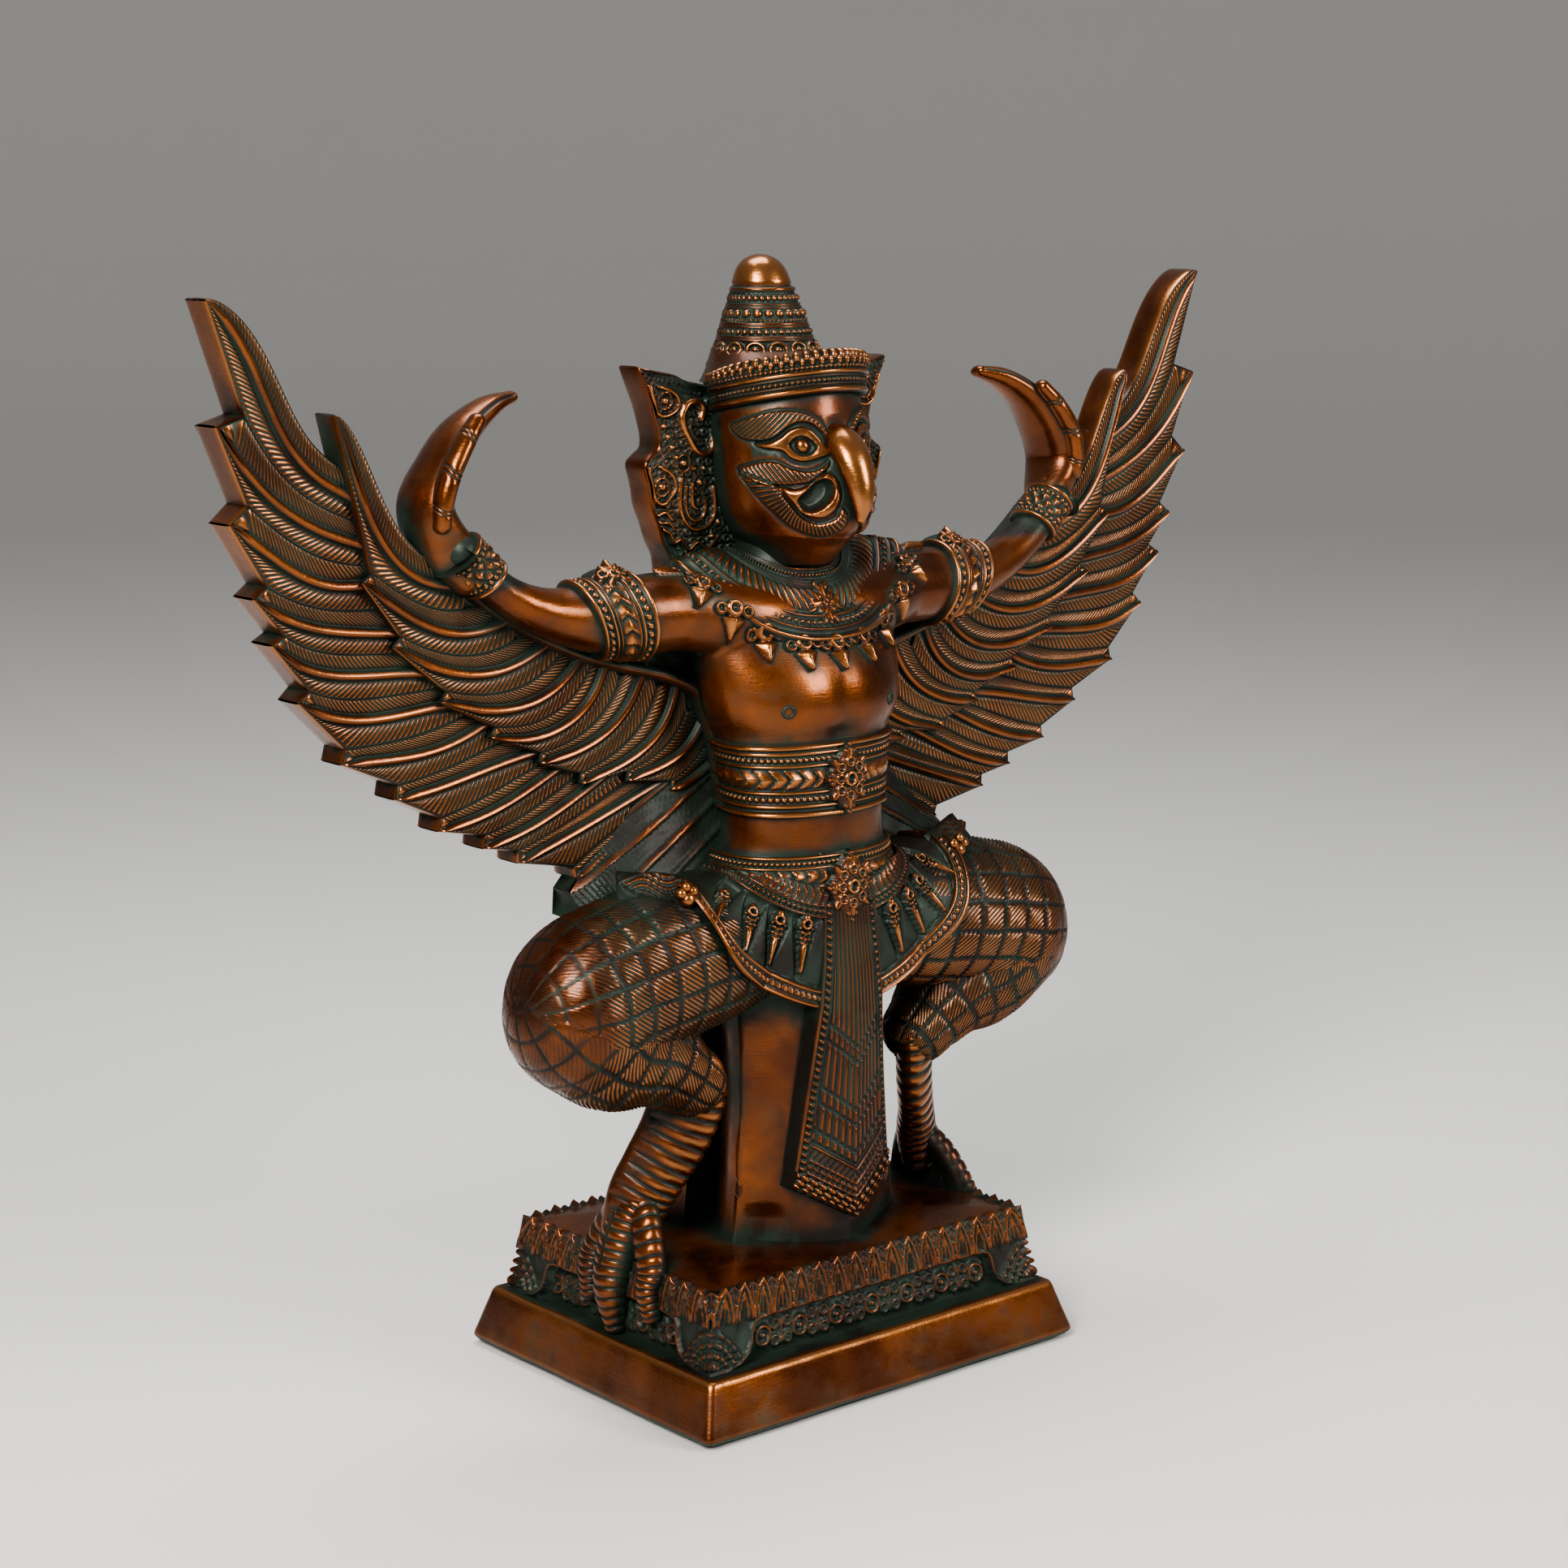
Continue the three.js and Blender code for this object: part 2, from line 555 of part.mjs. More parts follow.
// The hand bends back at the wrist: palm and fingers curl up and in, and the thumb lies outside.
function hand() {
  const palm = limb({
    path: [at(124, -1, 279), at(129, 0, 288), at(124.5, 1, 300), at(117, 3, 309.5), at(107, 5.5, 315.5), at(97, 7, 318.6)],
    wide: [8, 9.5, 10, 9, 6.5, 3.4], deep: [7, 7, 6, 5, 3.8, 1.8], up: new THREE.Vector3(1, 0, 0.4), steps: 5, sides: 6,
    domeStart: true, domeEnd: true,
  });
  const thumb = limb({
    path: [at(131, -6, 284), at(132, -8, 294), at(126, -7.5, 304.5), at(119, -6, 311)],
    wide: [4.4, 4.2, 3.7, 2.2], steps: 3, sides: 5, domeEnd: true,
  });
  return [palm, thumb];
}

// Wings.

// Places of a wing are [outward, up] pairs in parts, and angles count upwards from straight out.
const longFeathers = {
  tips: [[200.5, 351.5], [198, 315], [194, 287], [188.6, 266], [183, 252], [175, 234.5], [161, 215], [142.5, 202],
    [127, 190.5], [111, 183], [98, 176.7], [76, 168]],
  roots: [[140, 276], [116, 254], [84, 232], [50, 208], [14, 188]],
  rootTurn: [42, 4, -8, -22, -26],
  tipTurn: [46, 36, 30, -6, -14, -28],
  count: featherCount, front: 4.2, back: 4.2 + wingThickness, edge: 5.6,
};
const coverts = {
  tips: [[162, 317], [148, 256.5], [124, 228.5], [96, 209.5], [68, 198.6], [40, 192]],
  roots: [[116, 272], [84, 256], [52, 248], [24, 236], [12, 206]],
  rootTurn: [24, -22, -54, -64, -34],
  tipTurn: [72, 30, 12, -6, -14, -18],
  count: covertCount, front: 4.2 - covertLap, back: wingThickness, edge: 5,
};

function featherLine(wing, i) {
  const t = i / (wing.count - 1);
  const place = (list) => new THREE.SplineCurve(list.map(([u, z]) => new THREE.Vector2(u, z))).getPoint(t);
  const root = place(wing.roots);
  const tip = place(wing.tips);
  const reach = root.distanceTo(tip) * 0.38;
  const heading = (degrees) => new THREE.Vector2(reach, 0).rotateAround(new THREE.Vector2(), THREE.MathUtils.degToRad(degrees));
  return new THREE.CubicBezierCurve(root, root.clone().add(heading(along(wing.rootTurn, t))),
    tip.clone().sub(heading(along(wing.tipTurn, t))), tip);
}

// A fan of feathers as one plate. Each shaft is a ridge, and each seam between feathers is a groove that
// ends in the notch between two tips.
function featherFan(wing) {
  const steps = 3;
  const lines = Array.from({ length: wing.count }, (_, i) => featherLine(wing, i));
  const shares = Array.from({ length: steps + 1 }, (_, s) => s / steps);
  const across = (line, t, side) => {
    const heading = line.getTangent(t);
    return new THREE.Vector2(-heading.y, heading.x).multiplyScalar(side);
  };
  const edgeLine = (line, side) => shares.map((s) => {
    const t = s * 0.9;
    return line.getPoint(t).addScaledVector(across(line, t, side), wing.edge * (1 - 0.35 * s));
  });
  const seamLine = (upper, lower) => shares.map((s) => {
    const t = s * 0.9;
    return upper.getPoint(t).lerp(lower.getPoint(t), 0.5 + 0.34 * s ** 2);
  });
  const groove = shaftRise;
  const front = [];
  const addLine = (places, depth) => front.push(places.map((p) => at(p.x, wing.front + depth, p.y)));
  addLine(edgeLine(lines[0], 1), groove);
  lines.forEach((line, i) => {
    addLine(shares.map((s) => line.getPoint(s)), 0);
    if (i < lines.length - 1) addLine(seamLine(line, lines[i + 1]), groove);
  });
  addLine(edgeLine(lines.at(-1), -1), groove);
  return relief(front, wing.back * part);
}

// Plain metal joins the wing to the arm over it, and to the hip below it.
function webs() {
  const upper = { lines: [[[20, 252], [20, 212]], [[62, 250], [62, 235]], [[96, 256], [96, 248.5]], [[125, 278], [127, 272]]],
    front: -0.5, back: 10.5 };
  const lower = { lines: [[[10, 194], [10, 140]], [[38, 186], [40, 146]], [[68, 171], [68, 150]]], front: 7.5, back: 14.5 };
  return [upper, lower].map(({ lines, front, back }) => relief(lines.map((line) => line.map(([x, z]) => at(x, front, z))),
    back * part));
}

function wing() {
  const rod = limb({
    path: [at(130, 3.5, 277), at(119, 3.5, 264.5), at(100, 3.5, 251), at(80, 3.5, 241), at(60, 3, 234.5), at(44, 2, 230),
      at(31, 1, 224), at(25, 0, 213)],
    wide: [2, 2.6, 2.8, 2.8, 2.8, 2.8, 2.4, 2], deep: [2.5, 4, 4.5, 4.5, 4.5, 4.5, 4, 3], steps: 5, sides: 4,
  });
  return [featherFan(longFeathers), featherFan(coverts), rod, ...webs()];
}

// Hips, skirt and the panel that hangs in front.

function skirtPoint(turn, share) {
  const side = Math.abs(Math.sin(turn));
  const isFront = Math.cos(turn) > 0;
  const waist = { z: 168, half: 33, front: -36, mid: -13, back: 18 };
  const rimLevel = isFront ? 122 + 44 * side ** 2.2 : 148 + 18 * side ** 2;
  const rimHalf = 57;
  const rimReach = isFront ? 26 : 32;
  const waistReach = isFront ? waist.mid - waist.front : waist.back - waist.mid;
  const bow = Math.sin(share * Math.PI) * 2;
  const half = waist.half + (rimHalf - waist.half) * share + bow;
  const reach = waistReach + (rimReach - waistReach) * share + bow;
  return at(half * Math.sin(turn), waist.mid - reach * Math.cos(turn), waist.z + (rimLevel - waist.z) * share);
}

function skirt() {
  const sides = 14;
  const ring = (share, grow = 0) => Array.from({ length: sides }, (_, i) => {
    const turn = (i / sides) * Math.PI * 2;
    return skirtPoint(turn, share).add(new THREE.Vector3(Math.sin(turn), -Math.cos(turn), 0.3).multiplyScalar(grow * part));
  });
  const hem = ring(1).map((p) => p.clone().lerp(at(0, -8, 145), 0.14));
  const cloth = loft([ring(0), ring(0.5), ring(0.86), ring(0.93, 1.8), ring(1, 0.6), hem], at(0, -8, 168), at(0, -8, 140));
  const knob = boss({ centre: skirtPoint(Math.PI * 0.46, 0.96), out: new THREE.Vector3(0.7, -0.7, 0.6), along: upward,
    halfLength: 3.6 * part, halfWidth: 3.6 * part, rise: 4 * part, sides: 6 });
  const drops = Array.from({ length: skirtDropCount }, (_, i) => {
    const turn = 0.42 + (i * 0.98) / skirtDropCount;
    const top = skirtPoint(turn, 0.12);
    const low = skirtPoint(turn, 0.74);
    return boss({ centre: skirtPoint(turn, 0.42), out: new THREE.Vector3(Math.sin(turn), -Math.cos(turn), 0.4),
      along: low.clone().sub(top), halfLength: top.distanceTo(low) / 2, halfWidth: 2.5 * part, rise: 2 * part, sides: 6 });
  });
  return [cloth, ...bothSides([knob, ...drops])];
}

// Half-width and front of the hanging panel at a height.
function panelAt(z) {
  const share = Math.max(156 - z, 0) / (156 - 62);
  return { half: 10.5 + 10.5 * share ** 1.25, front: -38.6 - 1.2 * Math.sin(share * Math.PI) };
}

function panel() {
  const columns = [[-1, 0], [-0.9, 1.2], [-0.75, 0], [0, 0], [0.75, 0], [0.9, 1.2], [1, 0]];
  const chevrons = [122, 102, 84];
  const chevronRise = 0.9;
  const chevronWidth = 1.6;
  const rows = [[158, 0], ...chevrons.flatMap((z) => [[z + chevronWidth, 0], [z, chevronRise], [z - chevronWidth, 0]]),
    [73, 0], [70.5, 2], [66, 0.4]];
  const dip = (z) => 12 * Math.min(1, Math.max(0, (158 - z) / 30));
  const board = rows.map(([z, lift]) => columns.map(([c, border]) => {
    const { half, front } = panelAt(z);
    return at(half * c, front - Math.max(lift, border), z - dip(z) * (1 - Math.abs(c)));
  }));
  return [relief(board, -29 * part)];
}

// The rounded support under the body, and the tail feathers that come down behind it.
function support() {
  const stations = [
    { z: 40, half: 36, front: -39, mid: -21, back: 9 },
    { z: 54, half: 33, front: -37.5, mid: -21, back: 9 },
    { z: 100, half: 30, front: -37, mid: -20, back: 9 },
    { z: 128, half: 30, front: -36, mid: -18, back: 9 },
    { z: 146, half: 30, front: -33, mid: -15, back: 9 },
  ];
  return loft(stations.map((station) => bodyRing(station, 12)));
}

function tail() {
  const rows = [[40, 41, 37], [58, 34, 35.5], [80, 26, 33], [110, 22, 30.5], [150, 17, 24]];
  const columns = [-1, -0.5, 0, 0.5, 1];
  const back = rows.map(([z, y, half]) => columns.map((c) => at(half * c, y - Math.abs(c) * 2, z)));
  const front = rows.map(([z, y, half]) => columns.map((c) => at(half * c, Math.min(y - 16, 2), z)));
  return plate(front, back);
}

// Legs. The thigh swells from the hip to the knee, and the calf folds back under it.

const ankle = at(59.5, -5, 64);

function leg() {
  const thigh = limb({
    path: [at(14, -8, 144), at(36, -11, 143), at(60, -13, 141.5), at(84, -13.5, 137.5)],
    wide: [19, 23, 25.5, 24.5], deep: [22, 24, 25.5, 24.5], steps: 3, sides: 10, domeEnd: true,
  });
  const calf = limb({
    path: [at(90, -13.5, 127), at(78, -14, 118.5), at(63, -15.5, 112.5), at(49, -17, 103)],
    wide: [20, 20, 16, 11.5], deep: [20.5, 20, 16.5, 12], steps: 3, sides: 8, domeStart: true,
  });
  const ringed = (count) => (t) => 1 + 0.075 * (Math.round(t * count * 2) % 2 ? 1 : -1);
  const shin = limb({
    path: [at(47, -17, 100), at(50, -14, 86), at(55, -9.5, 74), ankle], wide: [9, 8.8, 8.6, 9.5], deep: [5.6, 5.4, 5.4, 6.4],
    up: new THREE.Vector3(0.7, -0.7, 0), steps: shinRings * 2, sides: 5, swell: ringed(shinRings),
  });
  return [thigh, calf, shin];
}

// Three toes leave the ankle, cross the tier's top and hang over its side edge.
function foot() {
  const sideAt = (height) => tierLength / 2 - tierLean(height - slabHeight);
  const toe = (y, spread, low, radius) => {
    const over = radius * 0.35 * part;
    const edge = new THREE.Vector3(sideAt(plinthTop) + over, (y + spread) * part, plinthTop + radius * 0.3 * part);
    const end = new THREE.Vector3(sideAt(low) + over, (y + spread * 1.5) * part, low);
    const knuckle = ankle.clone().lerp(edge, 0.55).add(new THREE.Vector3(0, 0, 3 * part));
    const middleToe = edge.clone().lerp(end, 0.45).add(new THREE.Vector3(over, 0, 0));
    return limb({ path: [ankle, knuckle, edge, middleToe, end], wide: [radius, radius, radius, radius * 0.9, radius * 0.6],
      deep: radius * 0.8, steps: toeRings * 2, sides: 5, up: new THREE.Vector3(1, 0, 0.6),
      swell: (t) => 1 + 0.06 * (Math.round(t * toeRings * 2) % 2 ? 1 : -1) });
  };
  const tipLevel = (share) => slabHeight + tierHeight * share;
  return [
    toe(-3, 0, tipLevel(0.12), 6.4),
    toe(-15, -3, tipLevel(0.42), 5),
    toe(7, 3, tipLevel(0.3), 4.6),
  ];
}

// The whole casting.

function toSolid(geometry) {
  const bare = geometry.clone();
  bare.deleteAttribute("normal");
  bare.deleteAttribute("uv");
  const merged = mergeVertices(bare, meetGap);
  return new wasm.Manifold(new wasm.Mesh({
    numProp: 3,
    vertProperties: Float32Array.from(merged.getAttribute("position").array),
    triVerts: Uint32Array.from(merged.index.array),
    tolerance: seamTolerance,
  }));
}

function joined(geometries) {
  return geometries.map(toSolid).reduce((whole, piece) => whole.add(piece));
}

function toGeometry(shape) {
  const mesh = shape.getMesh();
  const geometry = new THREE.BufferGeometry();
  geometry.setAttribute("position", new THREE.BufferAttribute(Float32Array.from(mesh.vertProperties), 3));
  geometry.setIndex(Array.from(mesh.triVerts));
  geometry.computeVertexNormals();
  return geometry;
}

function plinth() {
  const faces = tierFaces();
  const carved = faces.map(recess).reduce((whole, cut) => whole.subtract(toSolid(cut)), toSolid(tier()));
  return carved.add(joined([slab(), ...faces.flatMap((face) => [...rosettes(face), ...leafFringe(face), ...cornerLeaves(face)])]));
}

function figure() {
  return joined([
    trunk(), buckle(197.5, 11.5, 8), buckle(163, 13.5, 9),
    collar(), ...collarPendants(), ...head(), ...crown(), ...skirt(), ...panel(), support(), tail(),
    ...bothSides([...earPlate(), ...arm(), ...hand(), ...wing(), ...leg(), ...foot()]),
  ]);
}

const brass = new THREE.MeshStandardMaterial({ color: 0x8a4a1c, roughness: 0.4, metalness: 0.85 });
const casting = new THREE.Mesh(toGeometry(plinth().add(figure())), brass);
casting.name = "garuda_casting";

const garuda = new THREE.Group();
garuda.add(casting);
export default garuda;
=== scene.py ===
import math

import bpy
import numpy as np
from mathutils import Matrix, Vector
from mathutils.bvhtree import BVHTree


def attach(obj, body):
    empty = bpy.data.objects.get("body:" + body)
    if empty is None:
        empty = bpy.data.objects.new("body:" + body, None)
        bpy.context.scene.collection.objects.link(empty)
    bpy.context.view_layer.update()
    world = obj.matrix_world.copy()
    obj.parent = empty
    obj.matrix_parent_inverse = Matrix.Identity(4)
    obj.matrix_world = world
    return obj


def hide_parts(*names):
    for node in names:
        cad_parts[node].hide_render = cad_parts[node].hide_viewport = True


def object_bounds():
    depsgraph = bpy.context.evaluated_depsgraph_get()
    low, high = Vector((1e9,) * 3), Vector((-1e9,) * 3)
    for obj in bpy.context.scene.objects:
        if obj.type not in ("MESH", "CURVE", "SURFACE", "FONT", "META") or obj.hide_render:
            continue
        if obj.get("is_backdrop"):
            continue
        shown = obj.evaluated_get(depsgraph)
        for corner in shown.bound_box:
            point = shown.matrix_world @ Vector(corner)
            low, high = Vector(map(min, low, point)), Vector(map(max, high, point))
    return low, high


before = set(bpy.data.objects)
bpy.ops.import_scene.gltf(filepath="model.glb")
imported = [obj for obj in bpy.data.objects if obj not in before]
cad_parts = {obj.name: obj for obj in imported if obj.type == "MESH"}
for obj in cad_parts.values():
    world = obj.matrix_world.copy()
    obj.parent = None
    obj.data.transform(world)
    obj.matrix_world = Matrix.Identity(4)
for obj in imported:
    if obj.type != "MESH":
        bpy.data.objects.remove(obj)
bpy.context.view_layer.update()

# The camera
# It stands in front and to the figure's right, a little above its eyes, and looks down ten degrees.
camera_data = bpy.data.cameras.new("camera")
camera_data.lens = 74.15
camera_data.sensor_width = 36
camera_data.clip_start = 0.01
camera = bpy.data.objects.new("camera", camera_data)
camera.location = (-0.6620, -0.7904, 0.3876)
camera.rotation_euler = (math.radians(90 - 10.85), 0, math.radians(-40.15))
bpy.context.scene.collection.objects.link(camera)
bpy.context.scene.camera = camera

# The light
# Two soft boxes, a low fill and an even pale sky, so that polished metal shows long soft highlights.
sky = bpy.data.worlds.new("sky")
sky.use_nodes = True
sky.node_tree.nodes["Background"].inputs["Color"].default_value = (0.80, 0.81, 0.83, 1)
sky.node_tree.nodes["Background"].inputs["Strength"].default_value = 0.36
bpy.context.scene.world = sky
bpy.context.scene.view_settings.view_transform = "AgX"
bpy.context.scene.view_settings.look = "AgX - Medium High Contrast"


def soft_box(name, place, aim, width, height, power, colour):
    """A rectangular soft box that looks at a point."""
    data = bpy.data.lights.new(name, "AREA")
    data.shape = "RECTANGLE"
    data.size = width
    data.size_y = height
    data.energy = power
    data.color = colour
    box = bpy.data.objects.new(name, data)
    box.location = place
    box.rotation_euler = (Vector(aim) - Vector(place)).to_track_quat("-Z", "Y").to_euler()
    bpy.context.scene.collection.objects.link(box)


soft_box("key", (-0.95, -0.55, 0.95), (0, 0, 0.2), 0.5, 0.7, 30, (1, 0.97, 0.93))
soft_box("front", (0.55, -1.15, 0.75), (0, 0, 0.2), 0.45, 0.6, 15, (1, 0.98, 0.95))
soft_box("top", (0.1, 0.25, 1.25), (0, 0, 0.2), 0.7, 0.5, 10, (0.95, 0.98, 1))

# The floor
# A plain pale floor that runs up into a plain round wall, far off on every side of the figure.
floor_points = [(0, 0, 0)]
floor_faces = []
floor_sides = 96
for radius, height in ((1.2, 0), (2.6, 0), (3.1, 0.06), (3.5, 0.24), (3.8, 0.6), (3.95, 1.1), (4.0, 2.6)):
    for side in range(floor_sides):
        turn = 2 * math.pi * side / floor_sides
        floor_points.append((radius * math.cos(turn), radius * math.sin(turn), height))
for side in range(floor_sides):
    after = (side + 1) % floor_sides
    floor_faces.append((0, 1 + side, 1 + after))
    for ring in range(6):
        start = 1 + ring * floor_sides
        floor_faces.append((start + side, start + floor_sides + side, start + floor_sides + after,
                            start + after))
floor_mesh = bpy.data.meshes.new("floor")
floor_mesh.from_pydata(floor_points, [], floor_faces)
floor_mesh.shade_smooth()
floor = bpy.data.objects.new("floor", floor_mesh)
floor_paint = bpy.data.materials.new("pale_floor")
floor_paint.use_nodes = True
floor_paint.node_tree.nodes["Principled BSDF"].inputs["Base Color"].default_value = (0.62, 0.61, 0.59, 1)
floor_paint.node_tree.nodes["Principled BSDF"].inputs["Roughness"].default_value = 0.6
floor_mesh.materials.append(floor_paint)
bpy.context.scene.collection.objects.link(floor)
floor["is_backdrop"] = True

# The plinth's slab
# A thick plain slab with battered sides, cast with the rest in brass, then filed and brushed.
# Its sides are polished to copper brown, and its top keeps the dark green patina.


class Wire:
    """A node's output. Arithmetic on it adds Math nodes."""

    def __init__(self, tree, socket):
        self.tree = tree
        self.socket = socket

    def maths(self, operation, other):
        return add_node(self.tree, "ShaderNodeMath", {"operation": operation}, {0: self, 1: other})

    def __add__(self, other):
        return self.maths("ADD", other)

    def __sub__(self, other):
        return self.maths("SUBTRACT", other)

    def __mul__(self, other):
        return self.maths("MULTIPLY", other)

    def __rsub__(self, other):
        return add_node(self.tree, "ShaderNodeMath", {"operation": "SUBTRACT"}, {0: other, 1: self})

    __radd__ = __add__
    __rmul__ = __mul__

    def between(self, low, high):
        """0 below `low`, 1 above `high`, and smooth from one to the other."""
        settings = {"interpolation_type": "SMOOTHSTEP"}
        sockets = {"Value": self, "From Min": low, "From Max": high}
        return add_node(self.tree, "ShaderNodeMapRange", settings, sockets)


def add_node(tree, kind, settings, sockets, output=0):
    """Adds a node, with its settings first and then the values or links of its sockets."""
    node = tree.nodes.new(kind)
    for name, value in settings.items():
        setattr(node, name, value)
    for name, value in sockets.items():
        if isinstance(value, Wire):
            tree.links.new(value.socket, node.inputs[name])
        else:
            node.inputs[name].default_value = value
    return Wire(tree, node.outputs[output])


def blend_colour(tree, mask, first, second):
    """One colour where the mask is 0, and the other where it is 1."""
    settings = {"data_type": "RGBA"}
    return add_node(tree, "ShaderNodeMix", settings, {0: mask, 6: first, 7: second}, output=2)


def patinated_brass(name):
    """Brass under a brown lacquer: crests rubbed bright, recesses left black and green."""
    material = bpy.data.materials.new(name)
    material.use_nodes = True
    tree = material.node_tree
    shader = tree.nodes["Principled BSDF"]
    place = add_node(tree, "ShaderNodeTexCoord", {}, {}, output="Object")
    # The relief attribute: carving and wear, lowered in a few places as painted shade.
    carving = add_node(tree, "ShaderNodeAttribute", {"attribute_name": "relief"}, {}, output="Fac")

    def noise(scale, detail=3, distortion=0):
        sockets = {"Vector": place, "Scale": scale, "Detail": detail, "Distortion": distortion}
        return add_node(tree, "ShaderNodeTexNoise", {}, sockets)

    clouds = noise(26, 4, 0.6)
    blotches = noise(130, 3, 0.4)
    grain = noise(900, 2)
    open_sky = add_node(tree, "ShaderNodeAmbientOcclusion", {"samples": 8}, {"Distance": 0.012},
                        output="AO")
    sheltered = 1 - open_sky
    # How much of the metal is out of the polishing cloth's reach, together with the painted shade that the
    # relief attribute carries round the neck and on the support column.
    unrubbed_and_painted_shade = 0.78 - carving + sheltered + (blotches - 0.5) * 0.45 + (clouds - 0.5) * 0.35
    unrubbed_and_painted_shade = unrubbed_and_painted_shade.between(0.05, 0.55)
    crest = (carving + (blotches - 0.5) * 0.25 - sheltered * 0.7).between(0.62, 1.02)
    verdigris = (noise(44, 4, 0.8) + sheltered * 0.30 - carving * 0.12).between(0.42, 0.62)

    brown = blend_colour(tree, clouds.between(0.35, 0.65), (0.090, 0.022, 0.005, 1),
                         (0.200, 0.056, 0.010, 1))
    bright = blend_colour(tree, blotches, (0.42, 0.20, 0.076, 1), (0.265, 0.082, 0.018, 1))
    dark = blend_colour(tree, verdigris, (0.009, 0.007, 0.005, 1), (0.014, 0.025, 0.017, 1))
    metal = blend_colour(tree, crest, brown, bright)
    colour = blend_colour(tree, unrubbed_and_painted_shade, metal, dark)
    tree.links.new(colour.socket, shader.inputs["Base Color"])

    metallic = 0.92 - unrubbed_and_painted_shade * 0.62
    tree.links.new(metallic.socket, shader.inputs["Metallic"])
    roughness = 0.25 + unrubbed_and_painted_shade * 0.25 + (grain - 0.5) * 0.10 + (clouds - 0.5) * 0.12
    tree.links.new(roughness.socket, shader.inputs["Roughness"])
    lacquer = 0.26 - unrubbed_and_painted_shade * 0.24
    tree.links.new(lacquer.socket, shader.inputs["Coat Weight"])
    shader.inputs["Coat Roughness"].default_value = 0.16
    shader.inputs["Specular IOR Level"].default_value = 0.35

    scratches = add_node(tree, "ShaderNodeMapping", {}, {"Vector": place, "Scale": (1, 1, 14)})
    brushed = add_node(tree, "ShaderNodeTexNoise", {}, {"Vector": scratches, "Scale": 160, "Detail": 2})
    height = grain * 0.5 + blotches * 0.7 + brushed * 0.5
    bump = add_node(tree, "ShaderNodeBump", {}, {"Height": height, "Strength": 0.22, "Distance": 0.0004})
    tree.links.new(bump.socket, shader.inputs["Normal"])
    return material


brass = patinated_brass("patinated_brass")


def facing(points, ring, toward=None):
    """The outward direction at each point of a grid. A ring's rows close on themselves."""
    down = np.gradient(points, axis=0)
    if ring:
        over = np.roll(points, -1, axis=1) - np.roll(points, 1, axis=1)
    else:
        over = np.gradient(points, axis=1)
    out = np.cross(down, over)
    out = out / np.maximum(np.linalg.norm(out, axis=2, keepdims=True), 1e-9)
    if toward is None:
        toward = points - points.mean(axis=1, keepdims=True)
    if (out * np.asarray(toward, float)).sum() < 0:
        return -out, True
    return out, False


def carved(points, height, ring=False, toward=None):
    """A grid of points moved outwards by `height` millimetres."""
    return points + facing(points, ring, toward)[0] * np.asarray(height)[..., None]


class Casting:
    """Gathers grids of points, in millimetres, into one piece of the casting."""

    def __init__(self):
        self.points = []
        self.relief = []
        self.quads = []
        self.count = 0

    def add(self, points, relief=0.5, ring=False, toward=None):
        """Adds a grid. `relief` is how exposed each point is: 0 in a recess, 0.5 plain, 1 on a crest."""
        points = np.asarray(points, float)
        rows, columns = points.shape[:2]
        turned = facing(points, ring, toward)[1]
        index = np.arange(rows * columns).reshape(rows, columns) + self.count
        if ring:
            index = np.concatenate([index, index[:, :1]], axis=1)
        corners = [index[:-1, :-1], index[1:, :-1], index[1:, 1:], index[:-1, 1:]]
        if turned:
            corners.reverse()
        self.quads.append(np.stack(corners, axis=-1).reshape(-1, 4))
        self.points.append(points.reshape(-1, 3))
        self.relief.append(np.broadcast_to(relief, (rows, columns)).reshape(-1))
        self.count += rows * columns

    def both_sides(self, points, relief=0.5, ring=False, toward=None):
        """Adds a grid and its mirror image on the figure's other side."""
        self.add(points, relief, ring, toward)
        mirror = np.array([-1, 1, 1])
        if toward is not None:
            toward = np.asarray(toward) * mirror
        self.add(np.asarray(points) * mirror, relief, ring, toward)

    def cast(self, name, material, crease=None, keep=0.45):
        """Makes the Blender piece. `keep` is the share of its triangles left where it is plain."""
        points = np.concatenate(self.points) / 1000
        quads = np.concatenate(self.quads)
        mesh = bpy.data.meshes.new(name)
        mesh.vertices.add(len(points))
        mesh.vertices.foreach_set("co", points.astype(np.float32).ravel())
        mesh.loops.add(quads.size)
        mesh.loops.foreach_set("vertex_index", quads.astype(np.int32).ravel())
        mesh.polygons.add(len(quads))
        mesh.polygons.foreach_set("loop_start", np.arange(0, quads.size, 4, dtype=np.int32))
        mesh.update(calc_edges=True)
        relief = mesh.attributes.new("relief", "FLOAT", "POINT")
        relief.data.foreach_set("value", np.concatenate(self.relief).astype(np.float32))
        mesh.validate()
        mesh.shade_smooth()
        if crease:
            mesh.set_sharp_from_angle(angle=math.radians(crease))
        return finished(mesh, name, material, keep)


def finished(mesh, name, material, keep=0.45):
    """A piece of the casting with its metal, fixed to the figure's one body."""
    mesh.materials.append(material)
    piece = bpy.data.objects.new(name, mesh)
    bpy.context.scene.collection.objects.link(piece)
    if keep < 1:
        thinned = piece.modifiers.new("thinned", "DECIMATE")
        thinned.ratio = keep
    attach(piece, "root")
    return piece


def unevenness(points, size, amount):
    """The slow unevenness that hand filing leaves, in millimetres."""
    x, y, z = np.moveaxis(np.asarray(points) / size, -1, 0)
    wave = np.sin(x * 1.7 + 2.1 * np.sin(y * 0.9 + 0.4)) + np.sin(y * 2.3 + 1.3 * np.sin(z * 1.1 + 1.9))
    return amount * (wave + np.sin(z * 1.9 + 1.7 * np.sin(x * 1.3 + 0.7))) / 3


